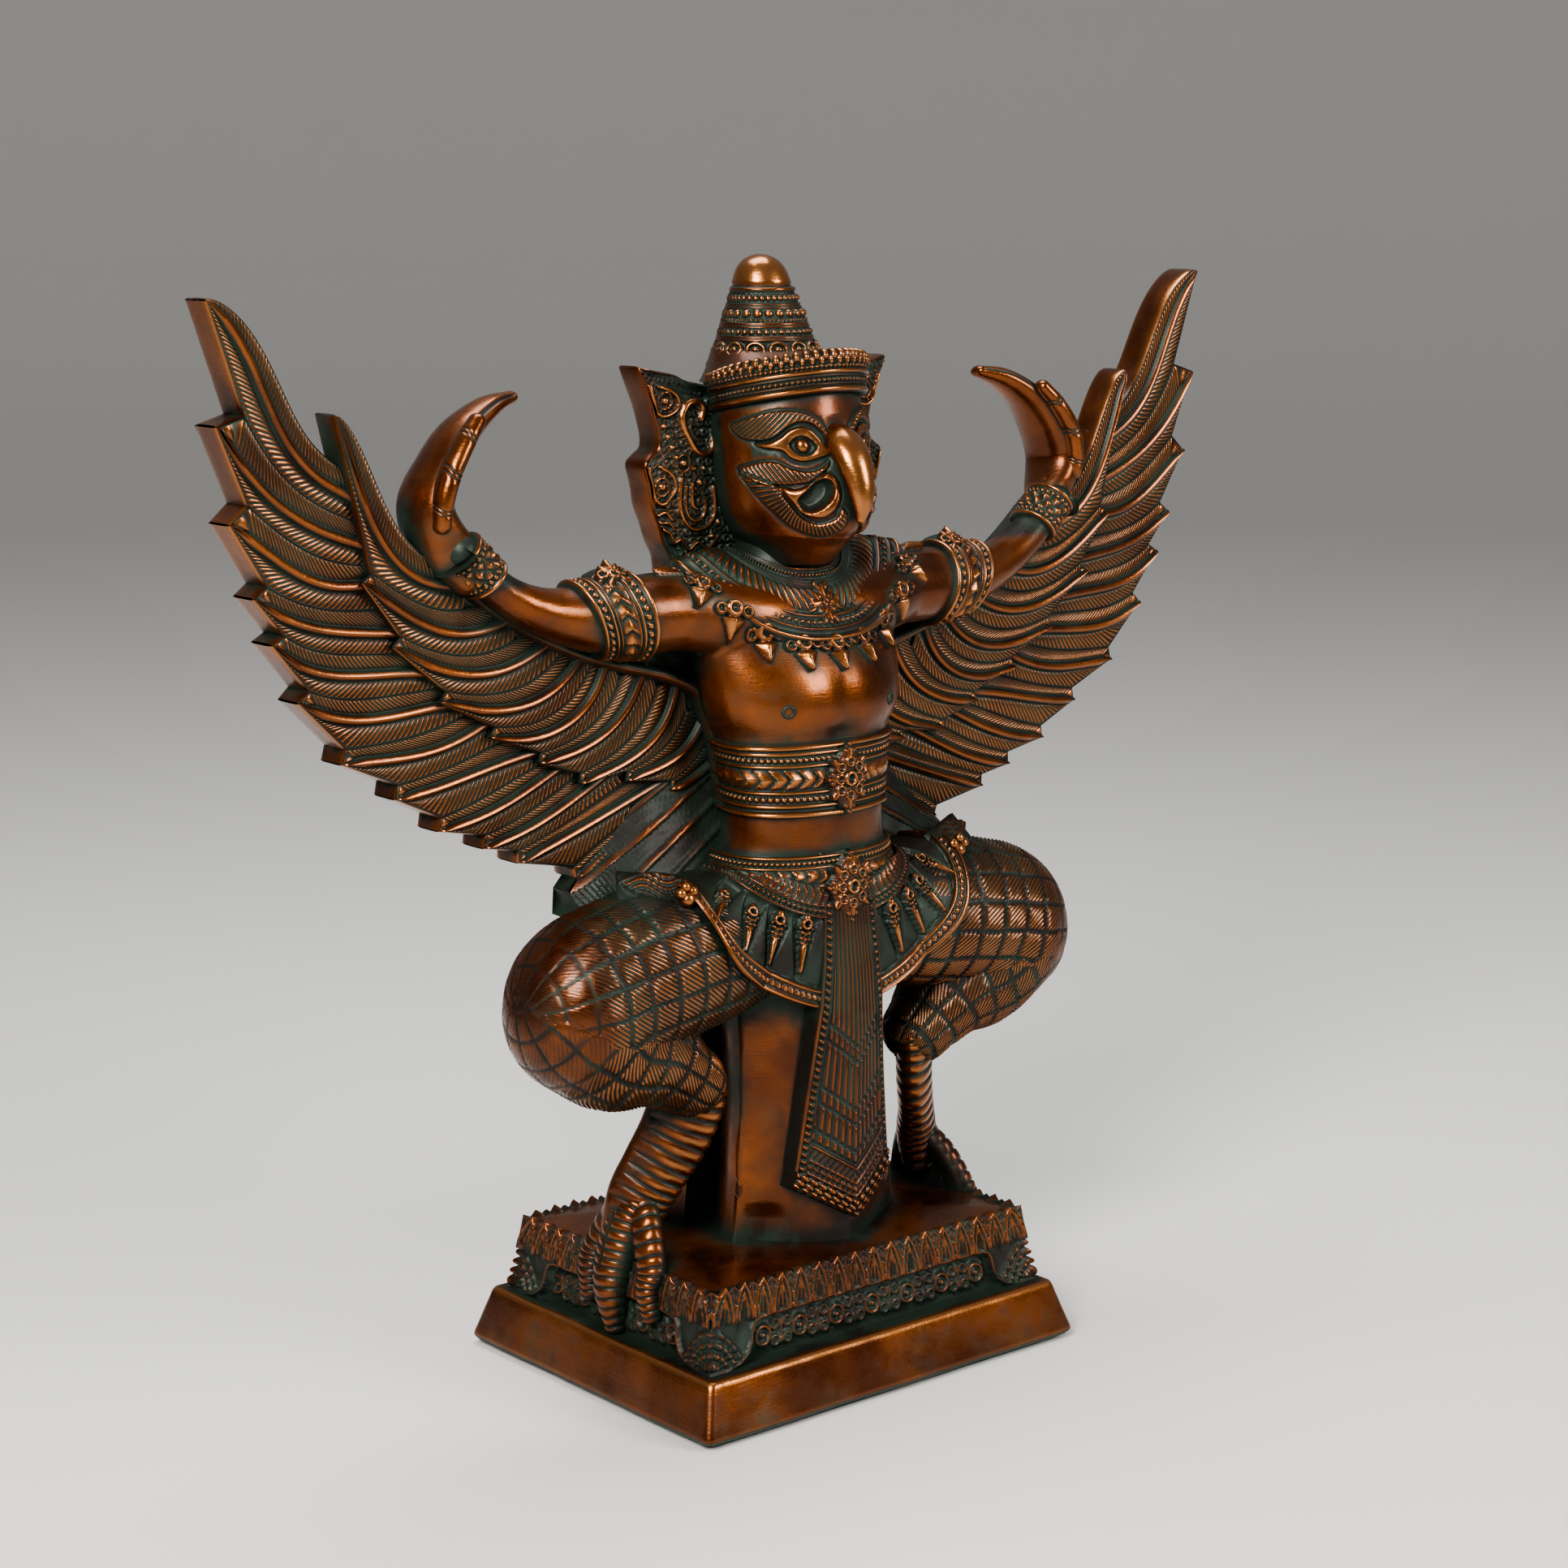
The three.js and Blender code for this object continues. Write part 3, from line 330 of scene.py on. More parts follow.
def rectangle(half_length, half_width, corner, length_steps, width_steps):
    """A level outline with rounded corners, as x and y places."""
    arcs = []
    for quarter, (sign_x, sign_y) in enumerate(((1, 1), (-1, 1), (-1, -1), (1, -1))):
        turn = np.linspace(0, np.pi / 2, 9) + quarter * np.pi / 2
        across = sign_x * (half_length - corner) + corner * np.cos(turn)
        along = sign_y * (half_width - corner) + corner * np.sin(turn)
        arcs.append(np.stack([across, along], axis=1))
    places = []
    for quarter in range(4):
        start = arcs[quarter][-1]
        end = arcs[(quarter + 1) % 4][0]
        steps = width_steps if quarter % 2 else length_steps
        places.append(arcs[quarter])
        places.append(start + (end - start) * np.linspace(0, 1, steps + 1)[1:-1, None])
    return np.concatenate(places)


slab_levels = [  # height, then how far the side stands in from the widest place, and how worn it is
    (0.0, 5.2, 0.4), (0.0, 3.6, 0.4), (0.5, 3.1, 0.5), (1.6, 1.2, 0.6), (2.6, 0.3, 0.8), (3.4, 0.0, 0.95),
    (4.4, 0.25, 0.7), (7, 1.1, 0.58), (10, 2.0, 0.55), (13, 2.9, 0.55), (16, 3.85, 0.58), (18, 4.45, 0.7),
    (19, 4.85, 0.9), (19.7, 5.4, 1.0), (20.0, 6.3, 0.8), (20.0, 7.5, 0.3), (19.95, 10, 0.12),
    (19.9, 16, 0.05),
]
slab_half_length = 79
slab_half_width = 63.5
slab_corner = 2.6
slab = Casting()
rows = []
for height, inset, _ in slab_levels:
    outline = rectangle(slab_half_length - inset, slab_half_width - inset, slab_corner, 90, 72)
    rows.append(np.column_stack([outline, np.full(len(outline), height)]))
rows = np.stack(rows)
worn = np.array([level[2] for level in slab_levels])[:, None] * np.ones(rows.shape[1])
filed = unevenness(rows, 14, 0.22) + unevenness(rows, 4.3, 0.07)
filed[0:2] = 0
slab.add(carved(rows, filed, ring=True), worn, ring=True)
foot = rows[0]
slab.add(np.stack([foot, foot * [0.6, 0.6, 1], foot * [0.05, 0.05, 1]]), 0.4, ring=True, toward=(0, 0, -1))
slab_piece = slab.cast("plinth_slab", brass, crease=50, keep=1)
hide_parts("garuda_casting")

# The plinth's tier
# A low block cast on the slab. A fringe of upright leaves stands up round its top edge, each face has a
# sunk panel of rosettes, and the corners end in feet carved with palmettes. Its top is filed smooth.


def dome(distance, radius):
    """A rounded bump: 1 over its middle and 0 from its edge on."""
    return np.sqrt(np.clip(1 - (distance / radius) ** 2, 0, 1))


def strokes(phase):
    """Cut strokes side by side: 1 on the metal between them and 0 at the bottom of each."""
    return 0.5 + 0.5 * np.cos(2 * np.pi * phase)


def past_mark(length, pitch):
    """How far a place lies past the nearest of a row of marks, one in every `pitch` millimetres."""
    return ((length / pitch + 0.5) % 1 - 0.5) * pitch


def highest(*forms):
    """The highest of several forms at each place."""
    out = forms[0]
    for form in forms[1:]:
        out = np.maximum(out, form)
    return out


def places_at(x, y, z):
    """A grid of places from its x, y and z."""
    return np.stack(np.broadcast_arrays(x, y, z), axis=-1)


def distance_to(path, a, b, closed=False):
    """How far places a, b are from a line through the places of a path."""
    path = np.asarray(path, float)
    if closed:
        path = np.concatenate([path, path[:1]])
    nearest = np.full(np.shape(a), 1e9)
    for start, end in zip(path[:-1], path[1:]):
        step = end - start
        share = np.clip(((a - start[0]) * step[0] + (b - start[1]) * step[1]) / (step @ step + 1e-9), 0, 1)
        nearest = np.minimum(nearest,
                             np.hypot(a - start[0] - share * step[0], b - start[1] - share * step[1]))
    return nearest


def inside(path, a, b):
    """Whether places a, b lie in a closed outline."""
    path = np.asarray(path, float)
    within = np.zeros(np.shape(a), bool)
    for start, end in zip(path, np.roll(path, -1, axis=0)):
        if start[1] == end[1]:
            continue
        crossing = start[0] + (b - start[1]) / (end[1] - start[1]) * (end[0] - start[0])
        within ^= ((start[1] > b) != (end[1] > b)) & (a < crossing)
    return within


def depth_in(path, a, b):
    """How far inside a closed outline a place is, and below 0 how far outside."""
    distance = distance_to(path, a, b, closed=True)
    return np.where(inside(path, a, b), distance, -distance)


tier_foot = np.array([68.5, 51.5])  # half its length and half its width where it stands on the slab
tier_taper = 3.4
face_foot = 19.8
face_rise = 24.4
leaf_pitch = 8.05
rosette_pitch = 15.5
tier_top = 44
top_swell = 4
foot_frame = [(0, 19.8), (6, 20.0), (10.8, 21.0), (14.2, 23.4), (15.6, 26.8), (15.8, 30.6), (16.8, 32.8),
              (19.4, 33.6),
              (26, 33.8), (80, 33.8)]
sunk_panel = foot_frame[3:] + [(80, 10), (13, 10)]


def leaf(a, climb, half):
    """An upright leaf with a rib and an inner arch. `climb` runs from 0 at its base to 1 at its tip."""
    width = half * (1 - np.clip(climb, 0, 1) ** 2.4)
    inner = half * 0.5 * (1 - np.clip(climb / 0.7, 0, 1) ** 1.8)
    body = (np.abs(a) < width) & (climb > 0) & (climb < 1)
    ridge = np.maximum(dome(np.abs(a) - width + 0.6, 0.75),
                       0.9 * dome(np.abs(a) - inner, 0.6) * (climb < 0.7))
    ridge = np.maximum(ridge, 0.9 * dome(a, 0.55) * (climb > 0.1))
    return np.where(body, 0.6 + 1.5 * ridge, 0)


def tier_relief(a, z, spread, half):
    """The carving of a face over places a, from the nearest corner, and z. `spread` is the leaf pitch."""
    out = np.full(a.shape, 0.5)
    out = np.where(depth_in(sunk_panel, a, z) > 0, -1.8, out)
    rosette = past_mark(half - a, rosette_pitch)
    up = z - 26.6
    reach = np.hypot(rosette, up)
    motif = np.maximum(1.5 * dome(reach - 2.9, 0.85), 1.7 * dome(reach, 1.3))
    curl = np.hypot(np.abs(rosette) - 5.2, np.abs(up) - 2.6)
    between_rosettes = dome(np.abs(rosette) - rosette_pitch / 2, 0.6) * (np.abs(up) < 4.4)
    motif = highest(motif, 1.3 * dome(curl - 1.5, 0.65), 1.2 * dome(curl, 0.6), 1.3 * between_rosettes)
    panel = (a > 18.5) & (z < 32.4) & (z > 21)
    out = np.where(panel & (motif > 0), -1.8 + motif, out)
    frame_line = dome(distance_to(foot_frame, a, z), 0.85)
    out = np.where(frame_line > 0, np.maximum(out, 0.5 + 1.4 * frame_line), out)
    # The palmette: pointed arches one inside the next, cut by strokes that fan out from its foot.
    rise = (z - 20.8) / 13.2
    arch = (np.abs(a) / 13.2) ** 1.35 + np.clip(rise, 0, 2) ** 1.35
    fan = strokes(np.arctan2(a, z - 18.5) / 0.29)
    for place, half_width, lift in ((0.86, 0.10, 1.6), (0.56, 0.09, 1.9), (0.30, 0.08, 2.2),
                                    (0.08, 0.09, 2.4)):
        layer = dome(arch - place, half_width * 1.3)
        cut_layer = np.maximum(out, 0.3 + lift * layer * (0.5 + 0.5 * fan))
        out = np.where((arch < 1) & (layer > 0) & (rise > 0.03), cut_layer, out)
    step = past_mark(a + spread / 2, spread)
    between = past_mark(a, spread)
    behind = leaf(between, (z - 36) / 10.5, spread / 2) * 0.7
    ahead = leaf(step, (z - 34.0) / 12.6, spread / 2)
    return np.where(z > 34.0, np.maximum(out, 0.4 + np.where(ahead > 0, ahead, behind)), out)


tier = Casting()
for out_x, out_y, columns, rows in ((0, -1, 252, 52), (-1, 0, 190, 52), (1, 0, 150, 42), (0, 1, 150, 36)):
    half_foot = tier_foot[0] if out_y else tier_foot[1]
    reach_foot = tier_foot[1] if out_y else tier_foot[0]
    side = np.linspace(-1, 1, columns)[None, :]
    spread = 2 * half_foot / round(2 * half_foot / leaf_pitch)
    from_corner = (1 - np.abs(side)) * half_foot
    step = np.abs(past_mark(from_corner + spread / 2, spread))
    between = np.abs(past_mark(from_corner, spread))
    tip = np.maximum(2.2 * np.clip(1 - step / 1.5, 0, 1), 1.3 * np.clip(1 - between / 1.5, 0, 1))
    z = face_foot + (face_rise + tip) * np.linspace(0, 1, rows)[:, None]
    taper = tier_taper * (z - 20) / 24
    lift = tier_relief(np.broadcast_to(from_corner, z.shape), z, spread, half_foot)
    corner = np.clip(1 - from_corner / 3, 0, 1)
    u = side * (half_foot - taper) + np.sign(side) * corner * lift
    reach = reach_foot - taper + lift
    # Behind the tips three more rows turn in and down to the top.
    inner_reach = (reach_foot - tier_taper - np.array([1.1, 1.6, 2.6]))[:, None] * np.ones(columns)
    inner_z = np.stack([43.4 + tip[0] * 0.9, 44.3 + tip[0] * 0.3, np.full(columns, 43.6)])
    inner_u = side * (half_foot - tier_taper - 1.2) * np.ones((3, 1))
    u = np.concatenate([u, inner_u])
    reach = np.concatenate([reach, inner_reach])
    z = np.concatenate([z, inner_z])
    exposed = np.where((lift < 0.2) & (z[:rows] < 33), 0.1 + (lift + 1.8) * 0.42, 0.02 + lift * 0.30)
    worn = np.concatenate([np.clip(exposed, 0, 1), np.full((2, columns), 0.5), np.full((1, columns), 0.2)])
    # Along the front the figure's left is +x; on the other faces the same run turns with the face.
    x = u * abs(out_y) + reach * out_x
    y = u * abs(out_x) + reach * out_y
    tier.add(places_at(x, y, z), worn, toward=(out_x, out_y, 0.01))
outline = rectangle(tier_foot[0] - tier_taper, tier_foot[1] - tier_taper, 2.5, 60, 46)
share = np.array([0.985, 0.96, 0.93, 0.88, 0.82, 0.74, 0.65, 0.55, 0.42, 0.28, 0.14, 0.01])[:, None, None]
swell = top_swell * (1 - share**2) * np.ones((1, len(outline), 1))
top = np.concatenate([outline * share, tier_top + swell], axis=2)
top = carved(top, unevenness(top, 12, 0.25), ring=True)
near = np.hypot(top[..., 0] / 46, (top[..., 1] + 8) / 40)
tier.add(top, np.clip(0.2 + near * 0.5, 0.1, 0.62), ring=True, toward=(0, 0, 1))
tier.cast("plinth_tier", brass, keep=0.6)

# The support and the tail
# A rounded column of metal under the body carries it, filed smooth with the grain upright. Behind it the
# tail feathers come down to the plinth as one plate.


def smooth(values, share):
    """The value at a share of a list, on one smooth line through all of them."""
    values = np.asarray(values, float)
    padded = np.concatenate([[2 * values[0] - values[1]], values, [2 * values[-1] - values[-2]]])
    at = np.clip(share, 0, 1) * (len(values) - 1)
    first = np.minimum(np.floor(at).astype(int), len(values) - 2)
    t = at - first
    if values.ndim > 1:
        t = t[..., None]
    a, b, c, d = padded[first], padded[first + 1], padded[first + 2], padded[first + 3]
    return 0.5 * (2 * b + (c - a) * t + (2 * a - 5 * b + 4 * c - d) * t**2 + (3 * b - a - 3 * c + d) * t**3)


def bump(value, middle, half):
    """A smooth hump: 1 at the middle and 0 beyond half its width."""
    return np.clip(1 - ((value - middle) / half) ** 2, 0, 1) ** 2


def all_round(count, start=0.0):
    """Evenly spaced angles once round a form."""
    return np.linspace(start, start + 2 * np.pi, count, endpoint=False)


class Upright:
    """An upright form given by level rings: height, half-width, and its front, widest and back places."""

    def __init__(self, rings):
        self.rings = np.array(rings, float)

    def ring(self, height):
        """Its sizes at a height."""
        count = len(self.rings) - 1
        share = np.interp(height, self.rings[:, 0], np.arange(count + 1)) / count
        return smooth(self.rings, share)

    def surface(self, height, turn, grow=0):
        """A place on the form. The turn is 0 in the middle of the front and grows to the figure's left."""
        ring = self.ring(height)
        half, front, middle, back = ring[..., 1], ring[..., 2], ring[..., 3], ring[..., 4]
        reach = np.where(np.cos(turn) > 0, middle - front, back - middle)
        x = (half + grow) * np.sin(turn)
        y = middle - (reach + grow) * np.cos(turn)
        return places_at(x, y, height)


support = Casting()
column = Upright([(40, 36, -39, -21, 9), (54, 33, -37.5, -21, 9), (100, 30, -37, -20, 9),
                  (128, 30, -36, -18, 9),
                  (146, 30, -33, -15, 9)])
height = np.linspace(42, 146, 110)[:, None]
turn = all_round(150, -np.pi)[None, :]
skin = column.surface(height, turn)
# The column narrows to a soft edge in front, where the hanging cloth lies on it.
middle_y = column.ring(height)[..., 3]
front_y = column.ring(height)[..., 2]
ahead = skin[..., 1] < middle_y
wedge = middle_y - (middle_y - front_y) * (1 - np.abs(np.sin(turn)) ** 1.35)
skin[..., 1] = np.where(ahead, wedge, skin[..., 1])
filed = unevenness(skin, 8, 0.25) + unevenness(skin * [1, 1, 0.2], 2.2, 0.05)
step = bump(turn, -0.95, 0.42) * np.clip((60 - height) / 5, 0, 1) * 1.8
# Painted shade: the column is coloured darker high up, under the skirt, and low down at its foot on the
# tier.
painted_shade = np.clip((height - 118) / 20, 0, 1) + np.clip((50 - height) / 5, 0, 1)
worn = np.clip(0.62 - 0.6 * painted_shade, 0, 1) * np.ones_like(turn)
support.add(carved(skin, filed - step, ring=True), worn, ring=True)

tail_rows = np.array([(42, 41, 37), (58, 34, 35.5), (80, 26, 33), (110, 22, 30.5), (150, 17, 24)], float)
share = np.linspace(0, 1, 210)[:, None]
across = np.linspace(-1, 1, 130)[None, :]
row = smooth(tail_rows, share)
feather = (across * 5 + 5) / 2
in_feather = np.abs((feather % 1) - 0.5) * 2
stroke = strokes(share * 70 + in_feather * 1.4)
lift = 1.1 * dome(in_feather, 0.16) - 1.1 * np.clip((in_feather - 0.86) / 0.14, 0, 1)
lift = lift - 0.3 * (1 - stroke) * (in_feather > 0.22) * (in_feather < 0.85)
x = row[..., 2] * across
y = row[..., 1] - np.abs(across) * 2 - 5 * np.clip(np.abs(across) - 0.93, 0, 1) ** 2 * 60
back = places_at(x, y + lift, row[..., 0])
support.add(back, np.clip(0.45 + lift * 0.35, 0, 1), toward=(0, 1, 0))
across = np.linspace(-1, 1, 30)[None, :]
y_front = np.minimum(row[..., 1] - 16, 2) * np.ones_like(across)
front = places_at(row[..., 2] * across, y_front, row[..., 0])
support.add(front, 0.35, toward=(0, -1, 0))
for side in (-1, 1):
    edge = smooth(tail_rows, np.linspace(0, 1, 80))
    reach = np.linspace(0, 1, 12)[None, :]
    y_back = (edge[:, 1] - 2.3)[:, None]
    y_front = np.minimum(edge[:, 1] - 16, 2)[:, None]
    wall_y = y_back + (y_front - y_back) * reach
    bulge = 0.9 * np.sin(np.pi * reach) ** 0.5
    wall = places_at(side * (edge[:, 2][:, None] + bulge), wall_y, edge[:, 0][:, None])
    support.add(wall, 0.6, toward=(side, 0, 0))
support.cast("support_and_tail", brass, keep=0.28)

# The legs
# Round thighs that swell to the knee, and calves folded back under them, cast hollow with the body.
# Lines cut along and across mark them off in plots, each filled with slanting strokes for down.


class Limb:
    """A limb of oval section along a smooth line, `deep` towards `up` and `wide` across it."""

    def __init__(self, path, wide, deep, up=(0, -1, 0)):
        self.path = path
        self.wide = wide
        self.deep = deep
        self.up = np.array(up, float)
        fine = smooth(path, np.linspace(0, 1, 200))
        self.length = np.linalg.norm(np.diff(fine, axis=0), axis=1).sum()

    def heading(self, share):
        """The direction of its line."""
        after = smooth(self.path, np.minimum(share + 0.01, 1))
        before = smooth(self.path, np.maximum(share - 0.01, 0))
        return (after - before) / np.linalg.norm(after - before, axis=-1, keepdims=True)

    def surface(self, share, turn, grow=0):
        """A place on it, at a share of its line and an angle round it."""
        share, turn = np.broadcast_arrays(share, turn)
        centre = smooth(self.path, share)
        heading = self.heading(share)
        across = np.cross(heading, self.up)
        across /= np.linalg.norm(across, axis=-1, keepdims=True)
        out = np.cross(across, heading)
        wide = (smooth(self.wide, share) + grow) * np.cos(turn)
        deep = (smooth(self.deep, share) + grow) * np.sin(turn)
        return centre + across * wide[..., None] + out * deep[..., None]

    def skin(self, rows, sides, round_start=True):
        """A grid of its whole surface. Its ends are drawn in to a point, rounded or flat."""
        turn = all_round(sides)[None, :]
        grid = self.surface(np.linspace(0, 1, rows)[:, None], turn)
        caps = []
        for at, is_round, sign in ((0.0, round_start, -1), (1.0, True, 1)):
            middle = smooth(self.path, at)
            ring = self.surface(at, turn)[0]
            radius = min(smooth(self.wide, at), smooth(self.deep, at)) if is_round else 0
            rise = self.heading(at) * sign * radius
            lifts = np.linspace(0, np.pi / 2, 8)[1:] if is_round else [np.pi / 2]
            cap = [middle + (ring - middle) * max(math.cos(lift), 1e-3) + rise
                   * math.sin(lift) for lift in lifts]
            caps.append(np.stack(cap[::sign]))
        return np.concatenate([caps[0], grid, caps[1]])


class LongLimb(Limb):
    """A limb measured by the distance along it, rounded ends included."""

    def place(self, distance, turn):
        """A place on it, at a distance along it and an angle round it."""
        share = np.clip(distance / self.length, 0, 1)
        past = np.where(distance > self.length, distance - self.length, np.minimum(distance, 0))
        radius = (smooth(self.wide, share) + smooth(self.deep, share)) / 2
        lift = np.clip(past / radius, -np.pi / 2, np.pi / 2)
        skin = self.surface(share, turn)
        centre = smooth(self.path, share)
        shrink = np.maximum(np.cos(lift), 1e-3)[..., None]
        return centre + (skin - centre) * shrink + self.heading(share) * (np.sin(lift) * radius)[..., None]

    def gap(self, points):
        """How far points are outside the limb, and below 0 how far inside."""
        share = np.linspace(0, 1, 60)
        radius = (smooth(self.wide, share) + smooth(self.deep, share)) / 2
        nearest = np.full(points.shape[:-1], 1e9)
        for centre, half in zip(smooth(self.path, share), radius):
            nearest = np.minimum(nearest, np.linalg.norm(points - centre, axis=-1) - half)
        return nearest


thigh = LongLimb(
    path=[(14, -8, 144), (36, -11, 143), (60, -13, 141.5), (84, -13.5, 137.5)],
    wide=[19, 23, 25.5, 24.5], deep=[22, 24, 25.5, 24.5],
)
calf = LongLimb(
    path=[(90, -13.5, 127), (78, -14, 118.5), (63, -15.5, 112.5), (49, -17, 103)],
    wide=[20, 20, 16, 11.5], deep=[20.5, 20, 16.5, 12],
)


def downy(limb, other, start, end, rings, plots, first_plot):
    """A limb's grid with its plots of strokes. Each stroke runs along a slanting column of the grid."""
    radius = float(np.mean(limb.wide))
    stroke_pitch = 1.62
    columns = int(2 * np.pi * radius / stroke_pitch) * 3
    distance = np.arange(start, end, 0.85)[:, None]
    column = np.arange(columns)[None, :]
    turn = column / columns * 2 * np.pi + distance * 0.9 / radius
    skin = limb.place(distance, turn)
    # The two forms melt together over the outside of the knee and keep a crease inside it.
    reach = np.interp(skin[..., 0], [66, 84, 100], [2.0, 9.0, 16.0])
    close = np.clip(reach - np.abs(other.gap(skin)), 0, None) / reach
    skin = carved(skin, close**2 * reach / 4, ring=True)
    wobble = unevenness(skin, 6, 0.6)
    along = np.abs(past_mark(distance + wobble * 0.12 * rings, rings))
    angle = (turn / (2 * np.pi) * plots + first_plot + wobble * 0.1) % 1
    around = np.abs((angle + 0.5) % 1 - 0.5) * 2 * np.pi * radius / plots
    line = np.minimum(along, around)
    groove = np.clip(1 - line / 0.5, 0, 1)
    stroke = np.array([0.0, 1.0, 0.85])[column % 3]
    rubbed = np.interp(skin[..., 0], [88, 98], [1.0, 0.2])
    inner = np.clip((line - 0.35) / 0.5, 0, 1) * rubbed
    height = 0.62 * stroke * inner - 0.75 * groove * (0.4 + 0.6 * rubbed) - 0.3
    top = np.clip((skin[..., 2] - 156) / 8, 0, 1) * np.clip((88 - skin[..., 0]) / 20, 0, 1)
    worn = 0.1 + (0.85 - 0.5 * top) * stroke * inner + 0.42 * (1 - rubbed)
    return carved(skin, height, ring=True), np.clip(worn * (1 - groove * 0.9), 0, 1)


legs = {1: Casting(), -1: Casting()}
thigh_skin, thigh_worn = downy(thigh, calf, -4, thigh.length + 37.5, 9.4, 16, 0.3)
calf_skin, calf_worn = downy(calf, thigh, -30, calf.length + 18, 9.0, 12, 0.1)
shin = LongLimb(
    path=[(48, -16, 104), (48.5, -15.7, 98), (51.5, -12.7, 86), (56.3, -8.4, 74), (60, -4.6, 64),
          (63, -2.6, 52)],
    wide=[10.6, 11.2, 11.0, 10.4, 9.8, 8.4], deep=[5.6, 5.6, 5.4, 5.4, 6.2, 5.2], up=(0.7, -0.7, 0),
)
distance = np.arange(0, shin.length, 0.4)[:, None]
turn = all_round(70)[None, :]
inward = np.clip(0.5 + 0.9 * np.cos(turn - 0.2), 0, 1)
ring_pitch = 3.7
ringed = dome(past_mark(distance + 0.12 * ring_pitch * np.sin(turn), ring_pitch), ring_pitch / 2)
outside = bump(turn, 2.05, 0.75)
past_ring = (distance / ring_pitch + 0.16 * np.sin(turn) + 0.5) % 1 * ring_pitch
tick = np.clip(1 - past_ring / 0.45, 0, 1) * outside
height = 1.2 * ringed * inward - 0.55 * tick + 0.9 * bump(turn, 2.6, 0.7)
shin_skin = carved(shin.place(distance, turn), height, ring=True)
shin_worn = np.clip(0.05 + 0.85 * ringed**2 * inward + 0.55 * (1 - inward) - 0.6 * tick - 0.2 * outside, 0,
                    1)
tier_side = 67.6
cut_pitch = 2.9
toes = []
for y, spread, low, radius, tip in ((-3, 0, 22.6, 6.9, 3.0), (-16, -4, 31.2, 4.6, 2.8),
                                    (5, 3, 31.0, 4.9, 3.2)):
    over = radius * 0.3
    ankle = np.array([59.5, -5, 64.0])
    edge = np.array([65.6 + over, y + spread, 44 + radius * 0.3])
    end = np.array([tier_side + tip * 0.3, y + spread * 1.5, low])
    knuckle = ankle + (edge - ankle) * 0.55 + [0, 0, 3]
    middle = edge + (end - edge) * 0.45 + [over, 0, 0]
    toe = LongLimb(path=[ankle, knuckle, edge, middle, end],
                   wide=[radius, radius * 1.05, radius, radius * 0.8, tip],
                   deep=[radius * 0.8] * 3 + [radius * 0.72, tip], up=(1, 0, 0.6))
    past_end = toe.length + np.linspace(0.2, tip * 1.5, 8)
    distance = np.concatenate([np.arange(0, toe.length, 0.35), past_end])[:, None]
    turn = all_round(60)[None, :]
    cut = np.clip(1 - np.abs(past_mark(distance + 0.06 * cut_pitch * np.sin(3 * turn), cut_pitch)) / 0.5, 0,
                  1)
    outward = np.clip(0.5 + 0.8 * np.sin(turn), 0, 1)
    seam = np.clip(1 - np.abs(turn - np.pi / 2) * radius / 0.45, 0, 1)
    seam = seam * (distance < toe.length * 0.62) * (radius > 6)
    height = 0.7 - 0.85 * np.maximum(cut, seam) * outward
    worn = np.clip(0.68 - 0.75 * np.maximum(cut, seam) * outward, 0, 1) * (0.35 + 0.65 * outward)
    toes.append((carved(toe.place(distance, turn), height, ring=True), worn))
for side, leg in legs.items():
    mirror = np.array([side, 1, 1])
    leg.add(thigh_skin * mirror, thigh_worn, ring=True)
    leg.add(calf_skin * mirror, calf_worn, ring=True)
    leg.add(shin_skin * mirror, shin_worn, ring=True)
    for skin, worn in toes:
        leg.add(skin * mirror, worn, ring=True)
legs[1].cast("leg_left", brass, keep=0.43)
legs[-1].cast("leg_right", brass, keep=0.43)

# The skirt
# A stiff short skirt over the hips, cast in facets, with long drops hung from its waistband and a rim of
# beads between two cords. The facets keep their grey-green patina.


def beads(across, length, radius, pitch):
    """A row of round beads."""
    return dome(np.hypot(across, past_mark(length, pitch)), radius)


def cords(across, rows):
    """Cords side by side. Each has its place across, its half-width and its height."""
    return highest(*[rise * dome(across - place, half) for place, half, rise in rows])


def travelled(line):
    """How far along a line each of its places is."""
    return np.concatenate([[0], np.cumsum(np.linalg.norm(np.diff(line, axis=0), axis=1))])


def chevrons(across, length, half, pitch, slope):
    """Pointed leaves that lie one on the next along a band."""
    phase = (length - np.abs(across) * slope) / pitch
    rise = (phase % 1) ** 0.8
    return rise * np.clip(1.15 - np.abs(across) / half, 0, 1) ** 0.5


def petal(a, b, turn, inner, outer, half):
    """One rounded petal or leaf that points away from the middle at an angle."""
    along = a * math.sin(turn) + b * math.cos(turn)
    aside = a * math.cos(turn) - b * math.sin(turn)
    share = (along - inner) / (outer - inner)
    width = half * np.sin(np.pi * np.clip(share, 0, 1)) ** 0.6
    return np.where((share > 0) & (share < 1),
                    np.sqrt(np.clip(1 - (aside / np.maximum(width, 0.05)) ** 2, 0, 1)), 0)


def hoop(a, b, radius, half):
    """A raised round ring."""
    return dome(np.hypot(a, b) - radius, half)


